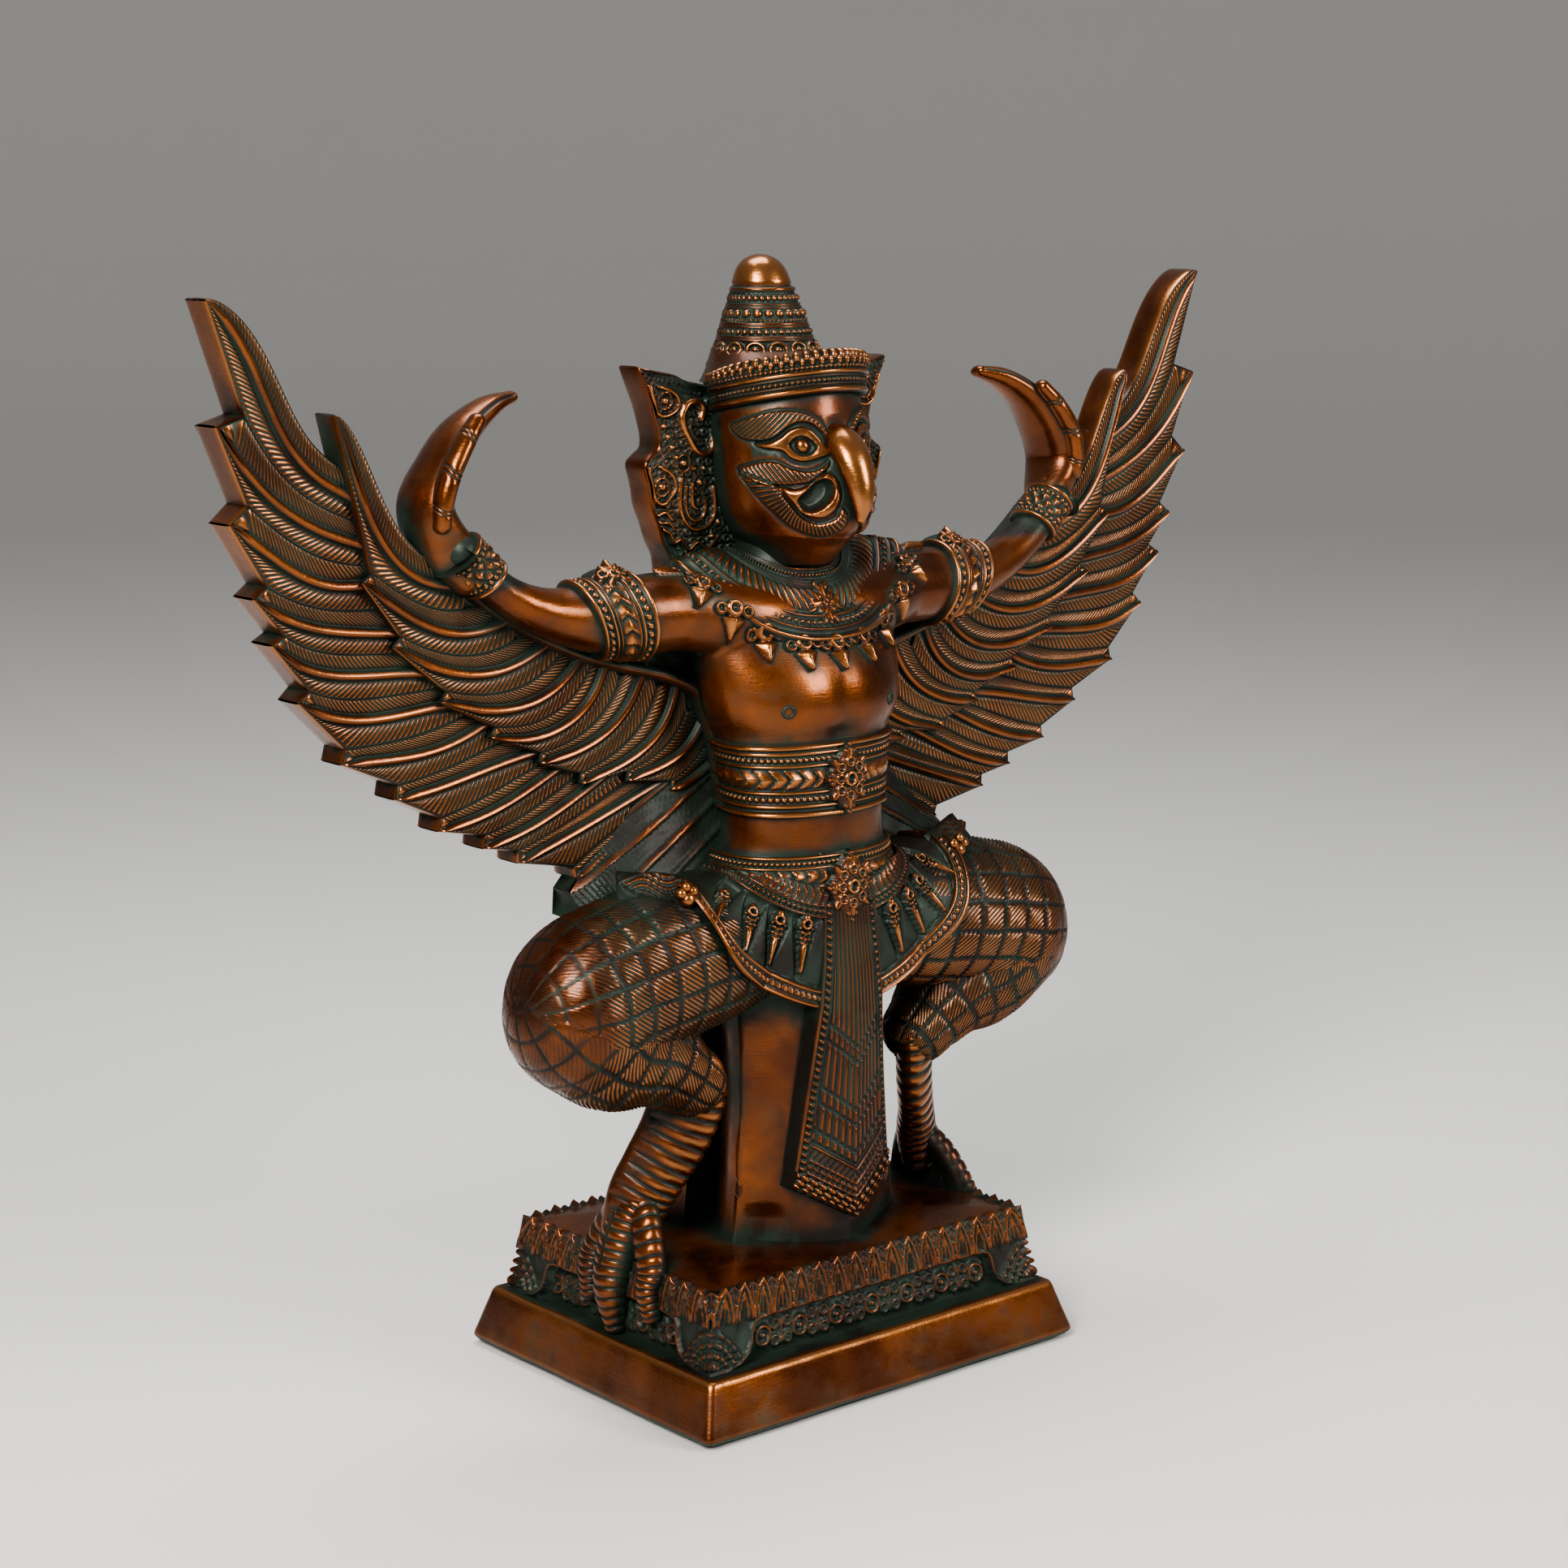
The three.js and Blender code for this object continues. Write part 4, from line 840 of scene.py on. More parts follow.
def ornament(casting, centre, out, down, size, shape, detail=0.34, sunk=1.6, wear=0.55, bend=None,
             onto=None):
    """A small cast ornament. `shape` gives its height over places a, across, and b, downwards.
    `bend` is the radius of the form that it lies on, to the sides, and `onto` is a skin it is laid on."""
    out = np.array(out, float)
    out /= np.linalg.norm(out)
    down = np.array(down, float)
    down -= out * (down @ out)
    down /= np.linalg.norm(down)
    across = np.cross(out, down)
    a = np.linspace(-size[0], size[0], int(size[0] * 2 / detail) + 1)[None, :]
    b = np.linspace(size[1], size[2], int((size[2] - size[1]) / detail) + 1)[:, None]
    a, b = np.broadcast_arrays(a, b)
    height = shape(a, b)
    rim = np.minimum(size[0] - np.abs(a), np.minimum(b - size[1], size[2] - b))
    lift = height - sunk * (height <= 0) - sunk * (rim < detail * 0.5)
    if bend:
        lift = lift - a**2 / (2 * bend)
    grid = np.array(centre) + across * a[..., None] + down * b[..., None]
    if onto:
        for row in grid:
            for i, place in enumerate(row):
                hit = onto.ray_cast(Vector((place + out * 9) / 1000), Vector(-out), 0.02)[0]
                row[i] = np.array(hit) * 1000 if hit else place - out * 6
    casting.add(grid + out * lift[..., None], np.clip(0.1 + height * wear, 0, 1), toward=out)


def skirt_surface(turn, share, grow=0):
    """A place on the skirt, from the waistband at 0 to the rim at 1. It lies over the thighs."""
    side = np.abs(np.sin(turn))
    ahead = np.cos(turn) > 0
    rim_level = np.where(ahead, 122 + 27 * side**1.6 + 18 * side**14, 148 + 19 * side**2)
    reach_top = np.where(ahead, 23, 31)
    reach_rim = np.where(ahead, 26, 32)
    bow = np.sin(share * np.pi) * 2 + grow
    flat = ahead * bump(np.sin(turn), 0, 0.5) * (1 + share)
    half = 33 + (57 - 33) * share + bow
    reach = reach_top + (reach_rim - reach_top) * share + bow - 1.4 * flat
    x = half * np.sin(turn)
    z = 168 + (rim_level - 168) * share
    squarer = np.where(ahead, 0.72, 1.0)
    y = -13 - reach * np.sign(np.cos(turn)) * np.abs(np.cos(turn)) ** squarer
    thigh_share = np.clip((np.abs(x) - 14) / 70, 0, 1)
    centre = smooth(thigh.path, thigh_share)
    lift = (z - centre[..., 2]) / (smooth(thigh.wide, thigh_share) + 1.6)
    roundness = np.sqrt(np.clip(1 - lift**2, 0, 1))
    thigh_front = centre[..., 1] - (smooth(thigh.deep, thigh_share) + 2.0) * roundness
    over = np.clip((np.abs(x) - 8) / 10, 0, 1) * ahead * (lift < 1) * share
    y = np.where(y > thigh_front, y + (thigh_front - y) * over, y)
    return places_at(x, y, z)


skirt = Casting()
turn = all_round(520, -np.pi)
share = np.linspace(0.02, 1, 96)
base = skirt_surface(turn[None, :], share[:, None])
fall = np.concatenate([np.zeros((1, 520)),
                       np.cumsum(np.linalg.norm(np.diff(base, axis=0), axis=2), axis=0)])
drop_total = fall[-1][None, :]
rim_line = skirt_surface(np.append(turn, np.pi), 0.97)
length = travelled(rim_line)[:-1]
length = np.abs(length - length[260])[None, :]
from_rim = drop_total - fall
out = highest(cords(from_rim, ((0.9, 0.9, 2.0), (5.6, 0.8, 2.0))), 1.1 * (from_rim < 5.4),
              1.1 + 1.0 * beads(from_rim - 3.3, length, 1.1, 2.6) * (from_rim < 5))
out = np.where(from_rim > 6.6, 0, out)
out = out * np.clip((np.abs(base[..., 0]) - 8.5) / 3 + (base[..., 1] > -20), 0, 1)
# The waistband sags in front. Below it the cloth lies in flat pointed plates, and a drop hangs
# between each two.
waist_length = length * 0.8
zone = fall - (12.6 - 12 * np.sin(turn)[None, :] ** 2)
scroll = 0.5 + 1.2 * chevrons(zone + 5, waist_length, 3.0, 3.6, 0.7)
out = highest(out, cords(zone, ((-1.7, 0.5, 1.4), (1.7, 0.55, 1.4))),
              1.6 * beads(zone, waist_length, 1.0, 2.3),
              scroll * (np.abs(zone + 5) < 2.9))
drop_turns = (0.42, 0.66, 0.92, 1.24)
apart = np.min([np.abs(np.abs(turn) - place) for place in drop_turns], axis=0)[None, :]
in_cloth = np.clip((from_rim - 6.6) / 1.2, 0, 1) * np.clip((zone - 2.3) / 1.2, 0, 1)
recess = 0.012 + 0.1 * np.clip(1 - (zone - 3) / 17, 0, 1)
plate = np.clip((apart - recess) / 0.025, 0, 1)
facet = np.clip(apart / 0.12, 0, 1)
shape = out + in_cloth * 1.5 * (plate - 0.6) * (np.cos(turn)[None, :] > -0.2)
worn = np.where(out > 0.4, 0.08 + out * 0.42, 0.02 + 0.16 * plate + 0.05 * facet)
skirt.add(carved(base, shape, ring=True), worn, ring=True)
hem = np.stack([base[-1] + (np.array([0, -8, 145]) - base[-1])
                * inset for inset in (0, 0.04, 0.1, 0.3, 0.6)])
hem[0] = carved(base, shape, ring=True)[-1]
skirt.add(hem, [[0.7], [0.4], [0.1], [0.05], [0.05]] * np.ones((1, 520)), ring=True, toward=(0, 0, -1))


def skirt_drop(a, b):
    """A ringed teardrop, a cluster of beads and a long spike."""
    rise = np.maximum(1.6 * hoop(a, b, 1.5, 0.7), 1.5 * petal(a, b, math.pi, -0.5, 4.2, 1.5) * (b < -1))
    for x, y, radius in ((1.3, 3.0, 0.9), (0, 3.4, 0.9), (1.5, 4.9, 0.9), (0, 5.2, 1.0), (0.9, 6.6, 0.8),
                         (2.3, 1.6, 0.7)):
        rise = np.maximum(rise, 1.4 * dome(np.hypot(np.abs(a) - x, b - y), radius))
    down = (b - 6.2) / 11.5
    half = 1.7 * np.clip(down * 5, 0, 1) ** 0.6 * np.clip(1 - down, 0, 1) ** 0.9
    spike = np.clip(1 - (a / np.maximum(half, 0.05)) ** 2, 0, 1) ** 0.5 * (down > 0) * (down < 1)
    return np.maximum(rise, 1.9 * spike)


def flap(a, b):
    """The loose end of the waistcloth, a curled leaf that lies out over the hip."""
    share = np.clip((b + 11) / 22, 0, 1)
    half = 4.8 * np.sin(np.pi * share**0.8) ** 0.7 + 0.01
    fold = strokes((a + 1.6 * np.sin(b * 0.42)) / 2.3) * 0.9 + 0.35 * strokes(b / 1.4 + a * 0.3)
    return np.where(np.abs(a) < half,
                    0.1 + 0.8 * np.sqrt(np.clip(1 - (a / half) ** 2, 0, 1)) * (0.2 + fold), 0)


for side in (-1, 1):
    for place in drop_turns:
        turn = side * place
        top = skirt_surface(np.array(turn), np.array(0.38), 0.2)
        low = skirt_surface(np.array(turn), np.array(0.80), 0.2)
        beside = [skirt_surface(np.array(turn + step), np.array(0.5)) for step in (0.04, -0.04)]
        aside = beside[0] - beside[1]
        down = low - top
        normal = np.cross(aside, down)
        if normal @ np.array([math.sin(turn), -math.cos(turn), 0.2]) < 0:
            normal = -normal
        spread = min(0.95, np.linalg.norm(down) / 17.2)
        ornament(skirt, top + normal / np.linalg.norm(normal) * 0.3, normal, down,
                 (3.3, -3.0, 17.2 * spread),
                 lambda a, b, spread=spread: skirt_drop(a, b / spread), bend=30)
    knob_end = np.array([side * 52.5, -21.5, 166.0])
    flap_tip = np.array([side * 73.5, -14.5, 171.0])
    ornament(skirt, (knob_end + flap_tip) / 2, (side * 0.25, -0.75, 0.65), flap_tip - knob_end,
             (5.2, -11.5, 11.5), flap,
             sunk=1.4)
    for dx, dz, radius in ((0, 0, 2.7), (2.4, 2.1, 1.9), (-2.0, 2.3, 1.9), (0.6, 4.0, 1.7)):
        knob = skirt_surface(np.array(side * 1.44), np.array(0.97), 1.2)
        turn = all_round(22)[None, :]
        lift = np.linspace(-1.5, 1.5, 14)[:, None]
        ball = places_at(np.cos(lift) * np.cos(turn), np.cos(lift) * np.sin(turn), np.sin(lift))
        skirt.add(knob + np.array([side * dx, 0, dz]) + ball * radius, 0.95, ring=True)
skirt.cast("skirt", brass, keep=0.46)

# The hanging panel
# A long pleated cloth in front, cast flat on the support: beaded edges, upright pleats crossed by pairs
# of pointed lines, and a fringe of berries along its pointed foot.

panel = Casting()
level = np.linspace(158, 65.5, 252)[:, None]
side = np.linspace(-1, 1, 128)[None, :]
share = np.clip(156 - level, 0, None) / 94
half = 10.5 + 10.5 * share**1.25
dip = 12 * np.clip((158 - level) / 30, 0, 1)
lie = np.interp(level, [66, 100, 118, 126, 140, 158], [-40.6, -41.2, -41.8, -42.2, -41.2, -38.6])
front = lie + (2.0 + 5.5 * share) * np.abs(side) ** 1.3
a = half * side
b = level + 0 * side
edge = half - np.abs(a)
pleat = strokes(side * 7.5)
out = 0.5 + 0.7 * (pleat - 0.5)
worn = 0.24 + 0.5 * pleat
for line in (122.4, 117.2, 101.5, 96.3, 87.2, 83.0):
    near = np.abs(b - line)
    out = np.where(near < 1.0, np.minimum(out, -0.3 + 0.9 * near), out)
    worn = np.where(near < 0.8, 0.0, worn)
border = (b < 82) & (edge > 2.6)
out = np.where(border, 0.3 + 0.6 * strokes((np.abs(a) + b * 0.6) / 1.7), out)
worn = np.where(border, 0.2 + 0.35 * strokes((np.abs(a) + b * 0.6) / 1.7), worn)
for line, radius in ((81.6, 0), (76.8, 0), (74.6, 1.0), (72.4, 0)):
    shape = beads(b - line, a, radius, 2.2) if radius else dome(b - line, 0.6)
    out = np.where(edge > 1.2, np.maximum(out, 1.5 * shape), out)
    worn = np.where((shape > 0.3) & (edge > 1.2), 0.62, worn)
in_border = (edge < 3.1) & (b > 71)
out = np.where(in_border, 0.3, out)
for place, bit in ((0.45, 0.55), (3.0, 0.45)):
    out = np.maximum(out, 1.3 * dome(edge - place, bit) * (b > 71))
bead_line = beads(edge - 1.75, b, 0.95, 2.35)
out = np.where(b > 71, np.maximum(out, 1.8 * bead_line), out)
worn = np.where(in_border, 0.1 + 0.65 * np.maximum(bead_line, 0.8 * dome(edge - 0.45, 0.6)), worn)
fringe = b < 71.6
out = np.where(fringe, 0.2, out)
worn = np.where(fringe, 0.1, worn)
for line, radius, shift in ((70.3, 1.35, 0), (68.2, 1.3, 1.4), (66.6, 1.0, 0)):
    berry = beads(b - line, a + shift, radius, 2.8)
    out = np.where(fringe, np.maximum(out, 2.4 * berry), out)
    worn = np.where((berry > 0.2) & fringe, 0.45 + 0.4 * berry, worn)
grid = places_at(a, front - out, b - dip * (1 - np.abs(side)))
panel.add(grid, np.clip(worn, 0, 1), toward=(0, -1, 0))
rim = np.concatenate([grid[:, 0], grid[-1, 1:], grid[::-1, -1][1:]])
inner = rim.copy()
inner[:, 1] += 5.5
inner[:, 0] *= 1.02
middle = rim * 0.5 + inner * 0.5 + [0, 0, -0.2]
panel.add(np.stack([rim, rim * 0.8 + inner * 0.2 + [0, 0, -0.2], middle, inner], axis=1),
          [[0.4, 0.25, 0.15, 0.05]],
          toward=np.stack([rim - [0, -35, 100]] * 4, axis=1) * [1, 0, 0.3])
panel.cast("hanging_panel", brass, keep=0.5)

# The body and the arms
# One smooth hollow casting from the hips to the neck, with both arms, filed and polished bright.
# The joins at the armpits are soft, because the wax model was smoothed there before casting.

trunk = Upright([
    (138, 30, -32, -10, 16), (152, 38, -35, -11, 19), (165, 34, -36, -13, 18), (174, 29.5, -35, -16, 16.5),
    (181, 27.5, -35, -18, 15.5), (196, 28, -34.8, -17.5, 15.5), (209, 30.5, -34.8, -17, 17),
    (221, 35.5, -36, -16, 19), (232, 37, -34.5, -14, 20), (242, 37, -29.5, -12, 20), (252, 34, -24, -9, 18),
    (259, 27, -20.5, -7.5, 15), (265, 16.5, -18.6, -6, 11.5), (282, 15.5, -18, -6, 11),
])
arm = Limb(
    path=[(28, -7, 250), (46, -7, 251.5), (62, -6.5, 251.5), (78, -5, 252), (94, -4, 255), (109, -3, 262.5),
          (123, -2, 275.5)],
    wide=[12, 12.5, 12.2, 10.6, 7.6, 6, 6], deep=[12, 13, 12.5, 10.8, 9, 7.6, 7.6],
)

height = np.arange(138, 282, 1.2)[:, None]
turn = all_round(168, -np.pi)[None, :]
skin = trunk.surface(height, turn)
x, y, z = np.moveaxis(skin, -1, 0)
ahead = np.clip(np.cos(turn) * 2, 0, 1)
behind = np.clip(-np.cos(turn) * 2, 0, 1)
muscle = ahead * 1.5 * bump(np.abs(x), 14, 26) * bump(z, 221, 17)
muscle -= ahead * 0.5 * np.exp(-((x / 4.5) ** 2)) * bump(z, 224, 16)
muscle -= ahead * 1.5 * np.exp(-((x / 5.0) ** 2)) * bump(z, 211.5, 6)
muscle -= ahead * 0.9 * bump(z, 211, 4)
muscle += behind * 2.2 * bump(np.abs(x), 16, 14) * bump(z, 236, 18)
muscle -= behind * 1.8 * np.exp(-((x / 4) ** 2)) * bump(z, 215, 55)
skin = carved(skin, muscle, ring=True)
bottom = skin[0] * [0.02, 0.02, 1]
top = skin[-1] * [0.02, 0.02, 1] + [0, -3, 0]

rough = Casting()
rough.add(np.concatenate([[bottom], skin, [top]]), ring=True)
rough.both_sides(arm.skin(90, 44), ring=True)
shoulder = Limb(
    path=[(10, -13.5, 246.5), (20, -12.5, 247.5), (30, -11, 249), (41, -9, 251)],
    wide=[12, 12.5, 12.5, 12.5], deep=[13, 13.5, 13, 12.5],
)
rough.both_sides(shoulder.skin(40, 40), ring=True)

# The overlapping forms are joined into one skin of small faces, which is then softened.
rough_mesh = bpy.data.meshes.new("body")
rough_mesh.from_pydata((np.concatenate(rough.points) / 1000).tolist(), [],
                       np.concatenate(rough.quads).tolist())
rough_piece = bpy.data.objects.new("body", rough_mesh)
bpy.context.scene.collection.objects.link(rough_piece)
remesh = rough_piece.modifiers.new("remesh", "REMESH")
remesh.mode = "VOXEL"
remesh.voxel_size = 0.00105
soften = rough_piece.modifiers.new("soften", "SMOOTH")
soften.factor = 0.5
soften.iterations = 14
bpy.context.view_layer.update()
joined = rough_piece.evaluated_get(bpy.context.evaluated_depsgraph_get())
body_mesh = bpy.data.meshes.new_from_object(joined)
body_mesh.name = "body"
bpy.data.objects.remove(rough_piece)
bpy.data.meshes.remove(rough_mesh)
body_mesh.shade_smooth()

points = np.empty(len(body_mesh.vertices) * 3, np.float32)
body_mesh.vertices.foreach_get("co", points)
points = points.reshape(-1, 3) * 1000.0
normals = np.empty(len(body_mesh.vertices) * 3, np.float32)
body_mesh.vertex_normals.foreach_get("vector", normals)
points = points + normals.reshape(-1, 3) * unevenness(points, 9, 0.12)[:, None]
body_mesh.vertices.foreach_set("co", (points / 1000).astype(np.float32).ravel())
# The relief is lowered in a band at the lower belt's top edge. Round the neck, under the chin, it is
# lowered further as painted shade.
exposed = 0.61 - 0.35 * bump(points[:, 2], 172, 5) - 0.7 * bump(points[:, 2], 273, 13)
relief = body_mesh.attributes.new("relief", "FLOAT", "POINT")
relief.data.foreach_set("value", np.clip(exposed, 0, 1).astype(np.float32))
body_mesh.update()
finished(body_mesh, "body", brass, keep=0.26)
body_skin = BVHTree.FromPolygons([vertex.co for vertex in body_mesh.vertices],
                                 [face.vertices[:] for face in body_mesh.polygons])

# The belts
# Two raised bands round the waist and the hips, cast on the body: cords, beads and a row of leaves,
# each with a four-pointed flower in the middle of the front.


def banded(across, length, bands, bead_gap, leaf_pitch, leaf_slope):
    """Cords, beads, leaves or crossed scrolls side by side, counted along from length 0. Each has its place
    across, its half-width, its kind and how far it stands out."""
    shapes = []
    for place, half, kind, rise in bands:
        at = across - place
        if kind == "cord":
            shape = dome(at, half)
        elif kind == "beads":
            shape = beads(at, length, half, half * bead_gap)
        elif kind == "leaves":
            shape = chevrons(at, length, half, leaf_pitch, leaf_slope) * (np.abs(at) < half)
        else:
            crossed = np.minimum(np.abs(((at + length) / 4.2) % 1 - 0.5),
                                 np.abs(((at - length) / 4.2) % 1 - 0.5))
            shape = np.clip(crossed * 2.6, 0, 1) * (np.abs(at) < half)
        shapes.append(shape * rise)
    return highest(*shapes)


def belt(casting, low, high, bands, grow):
    """A belt from `low` to `high`, whose bands have their places in millimetres from its middle."""
    middle = (low + high) / 2
    steps = np.arange(low - 0.8, high + 0.81, 0.32)
    turn = all_round(620, -np.pi)
    base = trunk.surface(steps[:, None], turn[None, :], grow)
    ring = trunk.surface(np.full(621, middle), np.append(turn, np.pi))
    length = travelled(ring)[:-1]
    length = np.abs(length - length[310])[None, :]
    across = (steps - middle)[:, None]
    out = banded(across, length, bands, 2.15, 4.6, 0.9)
    edge = np.clip((np.abs(across) - (high - low) / 2) / 0.5, 0, 1) * np.ones_like(length)
    grid = carved(base, out - edge * 2.6, ring=True)
    casting.add(grid, np.clip(0.12 + out * 0.9, 0, 1) * (1 - 0.6 * edge), ring=True)


def buckle_shape(half_width, half_height):
    """A pointed flower: a ring in the middle, eight looped petals round it, and a trefoil at each point."""
    def shape(a, b):
        diamond = 1 - (np.abs(a) / half_width) ** 1.15 - (np.abs(b) / half_height) ** 1.15
        rise = np.where(diamond > 0, 1.7 + 0.6 * np.clip(diamond, 0, 1), 0)
        for i in range(8):
            turn = i * math.pi / 4
            reach = half_height * abs(math.cos(turn)) + half_width * abs(math.sin(turn))
            reach *= 0.52 if i % 2 else 0.66
            x = reach * math.sin(turn) * 0.72
            y = reach * math.cos(turn) * 0.72
            rise = highest(rise, 2.9 * hoop(a - x, b - y, 1.45, 0.8),
                           2.7 * petal(a, b, turn, reach * 0.8, reach * 1.3, 1.7))
        for x, y in ((0, half_height), (0, -half_height), (half_width, 0), (-half_width, 0)):
            for out, aside, radius in ((0.96, 0, 1.2), (0.78, 1.5, 1.25), (0.78, -1.5, 1.25),
                                       (0.8, 0, 1.2)):
                over = np.hypot(a - x * out - (aside if y else 0), b - y * out - (0 if y else aside))
                rise = np.maximum(rise, 2.6 * dome(over, radius))
        middle = np.hypot(a, b)
        return np.where(middle < 2.9, 1.6 + 1.8 * dome(middle - 1.95, 0.85), rise)
    return shape


belts = Casting()
belt(belts, 185.6, 209.3, [
    (10.9, 0.9, "cord", 1.5), (8.9, 0.75, "cord", 1.1), (6.9, 0.9, "beads", 1.1), (4.9, 0.6, "cord", 1.2),
    (0.6, 3.3, "leaves", 1.5), (-3.6, 0.6, "cord", 1.2), (-5.7, 1.0, "beads", 1.1),
    (-8.0, 0.7, "cord", 1.1),
    (-10.7, 1.0, "cord", 1.5),
], 0.4)
belt(belts, 160, 173.4, [
    (6.2, 0.6, "cord", 1.3), (4.5, 0.85, "beads", 1.3), (2.9, 0.5, "cord", 1.0),
    (0.0, 2.1, "leaves", 1.6), (-3.0, 0.5, "cord", 1.0), (-4.5, 0.85, "beads", 1.3),
    (-6.2, 0.6, "cord", 1.3),
], 0.6)
for level, proud, size, shape, bend in (
    (197.5, 1.2, (8.4, -11.8, 11.8), buckle_shape(8, 11.4), 32),
    (163.0, 1.6, (9.6, -11.2, 13.5), buckle_shape(9, 11.6), 36),
):
    front = trunk.surface(np.array(level), np.array(0.0)) - [0, proud, 0]
    ornament(belts, front, (0, -1, 0), (0, 0, -1), size, shape, detail=0.26, wear=0.27, bend=bend)
belts.cast("belts", brass, keep=0.38)

# The collar
# A wide carved collar that dips in front, with a row of pointed drops hung below it, all cast on.

collar_neck = [(0, -19.5, 262.5), (7, -18.6, 263), (11.5, -16, 264), (15, -12.5, 265.5), (16.8, -9, 266.6),
               (17.2, -6, 267.2), (16.8, -2, 267.5), (14, 4, 267.5), (8, 9.5, 267.5), (0, 11.5, 267.5)]
collar_edge = [(0, -31.6, 239.5), (12, -31, 240.5), (24, -27.8, 244), (33.5, -22.6, 250.5),
               (41, -16.5, 257.8),
               (46.5, -9, 265.4), (44, -2, 265), (38, 4, 260), (24, 12.5, 252.5), (0, 20, 250)]


def collar_surface(turn, share, grow=0):
    """A place on the collar, from the neck at 0 to its lower edge at 1, and `turn` from the front round."""
    round_share = np.abs(turn) / np.pi
    inner = smooth(collar_neck, round_share)
    outer = smooth(collar_edge, round_share)
    share = np.asarray(share, float)
    place = inner + (outer - inner) * share[..., None]
    place[..., 2] += np.sin(np.pi * share) * (0.6 + 1.6 * np.sin(turn) ** 2) + grow
    place[..., 0] *= np.where(np.asarray(turn) < 0, -1, 1)
    return place


collar = Casting()
turn = all_round(640, -np.pi)
share = np.linspace(0, 1, 76)
base = collar_surface(turn[None, :], share[:, None])
width = np.linalg.norm(np.diff(base, axis=0), axis=2).sum(axis=0)
middle_ring = collar_surface(np.append(turn, np.pi), 0.6)
length = travelled(middle_ring)[:-1]
length = np.abs(length - length[320])[None, :]
across = share[:, None] * width[None, :]
scale = width[None, :]
rows = ((0.03, 0.5, 1.0), (0.2, 0.35, 0.7), (0.245, 0.35, 0.7), (0.66, 0.4, 1.0), (0.82, 0.4, 0.9),
        (0.94, 0.8, 1.2))
out = cords(across, [(place * scale, half, rise) for place, half, rise in rows])
for place, half in ((0.115, 0.65), (0.74, 0.8)):
    out = np.maximum(out, 1.25 * beads(across - place * scale, length, half, half * 2.7))
in_leaves = (across - 0.44 * scale) / (0.16 * scale)
leaf_share = past_mark((length + in_leaves * 2.2) / 3.1, 1)
out = np.maximum(out,
                 1.1 * np.clip(1 - (2.3 * leaf_share) ** 2, 0, 1) * np.clip(1 - in_leaves**2, 0, 1) ** 0.5)
skin = carved(base, out - 2.5 * (share[:, None] > 0.985), ring=True)
collar.add(skin, np.clip(0.02 + out * 0.75, 0, 1), ring=True)


def collar_flower(a, b):
    """Four long petals with a curl at either side of each, and four short ones between them."""
    rise = 1.3 * dome(np.hypot(a, b), 1.6) - 0.9 * dome(np.hypot(a, b), 0.6)
    for i in range(4):
        turn = i * math.pi / 2
        rise = highest(rise, 1.3 * petal(a, b, turn, 1.4, 6.4, 1.7),
                       1.1 * petal(a, b, turn + math.pi / 4, 1.8, 4.8, 1.2),
                       1.2 * petal(a, b, turn + 0.33, 4.4, 7.8, 1.0),
                       1.2 * petal(a, b, turn - 0.33, 4.4, 7.8, 1.0))
    return np.maximum(rise, 0.25 * (np.abs(a) + np.abs(b) < 7.5))


flower_place = collar_surface(np.array(0.0), np.array(0.5), 0.4)
ornament(collar, flower_place, (0, -1, 0.55), (0, 0, -1), (7.4, -8, 8), collar_flower, bend=24)


def pendant(a, b):
    """A flower of rings with a curl at either side, over a pointed drop with flat faces."""
    a = a / 1.12
    b = b / 1.12
    middle = np.hypot(a, b)
    curl = np.hypot(np.abs(a) - 4.1, b - 0.5)
    rise = highest(2.1 * hoop(a, b, 1.8, 1.0), 1.7 * dome(middle, 0.75), 0.7 * (middle < 2.2),
                   1.5 * dome(curl - 1.35, 0.75), 1.2 * dome(curl, 0.5))
    down = (b - 1.9) / 6.8
    half = 4.1 * np.clip(down * 6, 0, 1) ** 0.7 * np.clip(1 - down, 0, 1) ** 0.8
    drop = np.clip(1 - np.abs(a) / np.maximum(half, 0.05), 0, 1) * (down > 0) * (down < 1)
    return np.maximum(rise, (1.1 + 1.9 * drop * np.clip(down * 4, 0, 1)) * (drop > 0))


for i in range(-5, 6):
    turn = i * 1.05 / 9 * math.pi
    place = collar_surface(np.array(turn), np.array(0.97))
    beside = [collar_surface(np.array(turn + step), np.array(0.97)) for step in (0.05, -0.05)]
    aside = beside[0] - beside[1]
    to_side = (abs(i) / 5) ** 2
    down = np.array([0.75 * to_side * np.sign(i), -0.35, -1 + 0.35 * to_side])
    out = np.cross(aside, down)
    if out @ np.array([math.sin(turn), -math.cos(turn), 0.6]) < 0:
        out = -out
    ornament(collar, place, out, down, (6.9, -3.6, 11.0), pendant, sunk=4, wear=0.4, onto=body_skin)
for side in (-1, 1):
    ornament(collar, (side * 20.8, -30, 220.2), (side * 0.18, -1, 0), (0, 0, -1), (2.6, -2.6, 2.6),
             lambda a, b: 0.45 * hoop(a, b, 1.75, 0.5), detail=0.2, sunk=0.6, onto=body_skin)
collar.cast("collar", brass, keep=0.42)

# The armlets and the bracelets
# Bands cast on the arms. The armlet has a column of pointed leaves between two rows of beads and a
# small scroll flower on top, and the bracelet has a row of crossed scrolls.


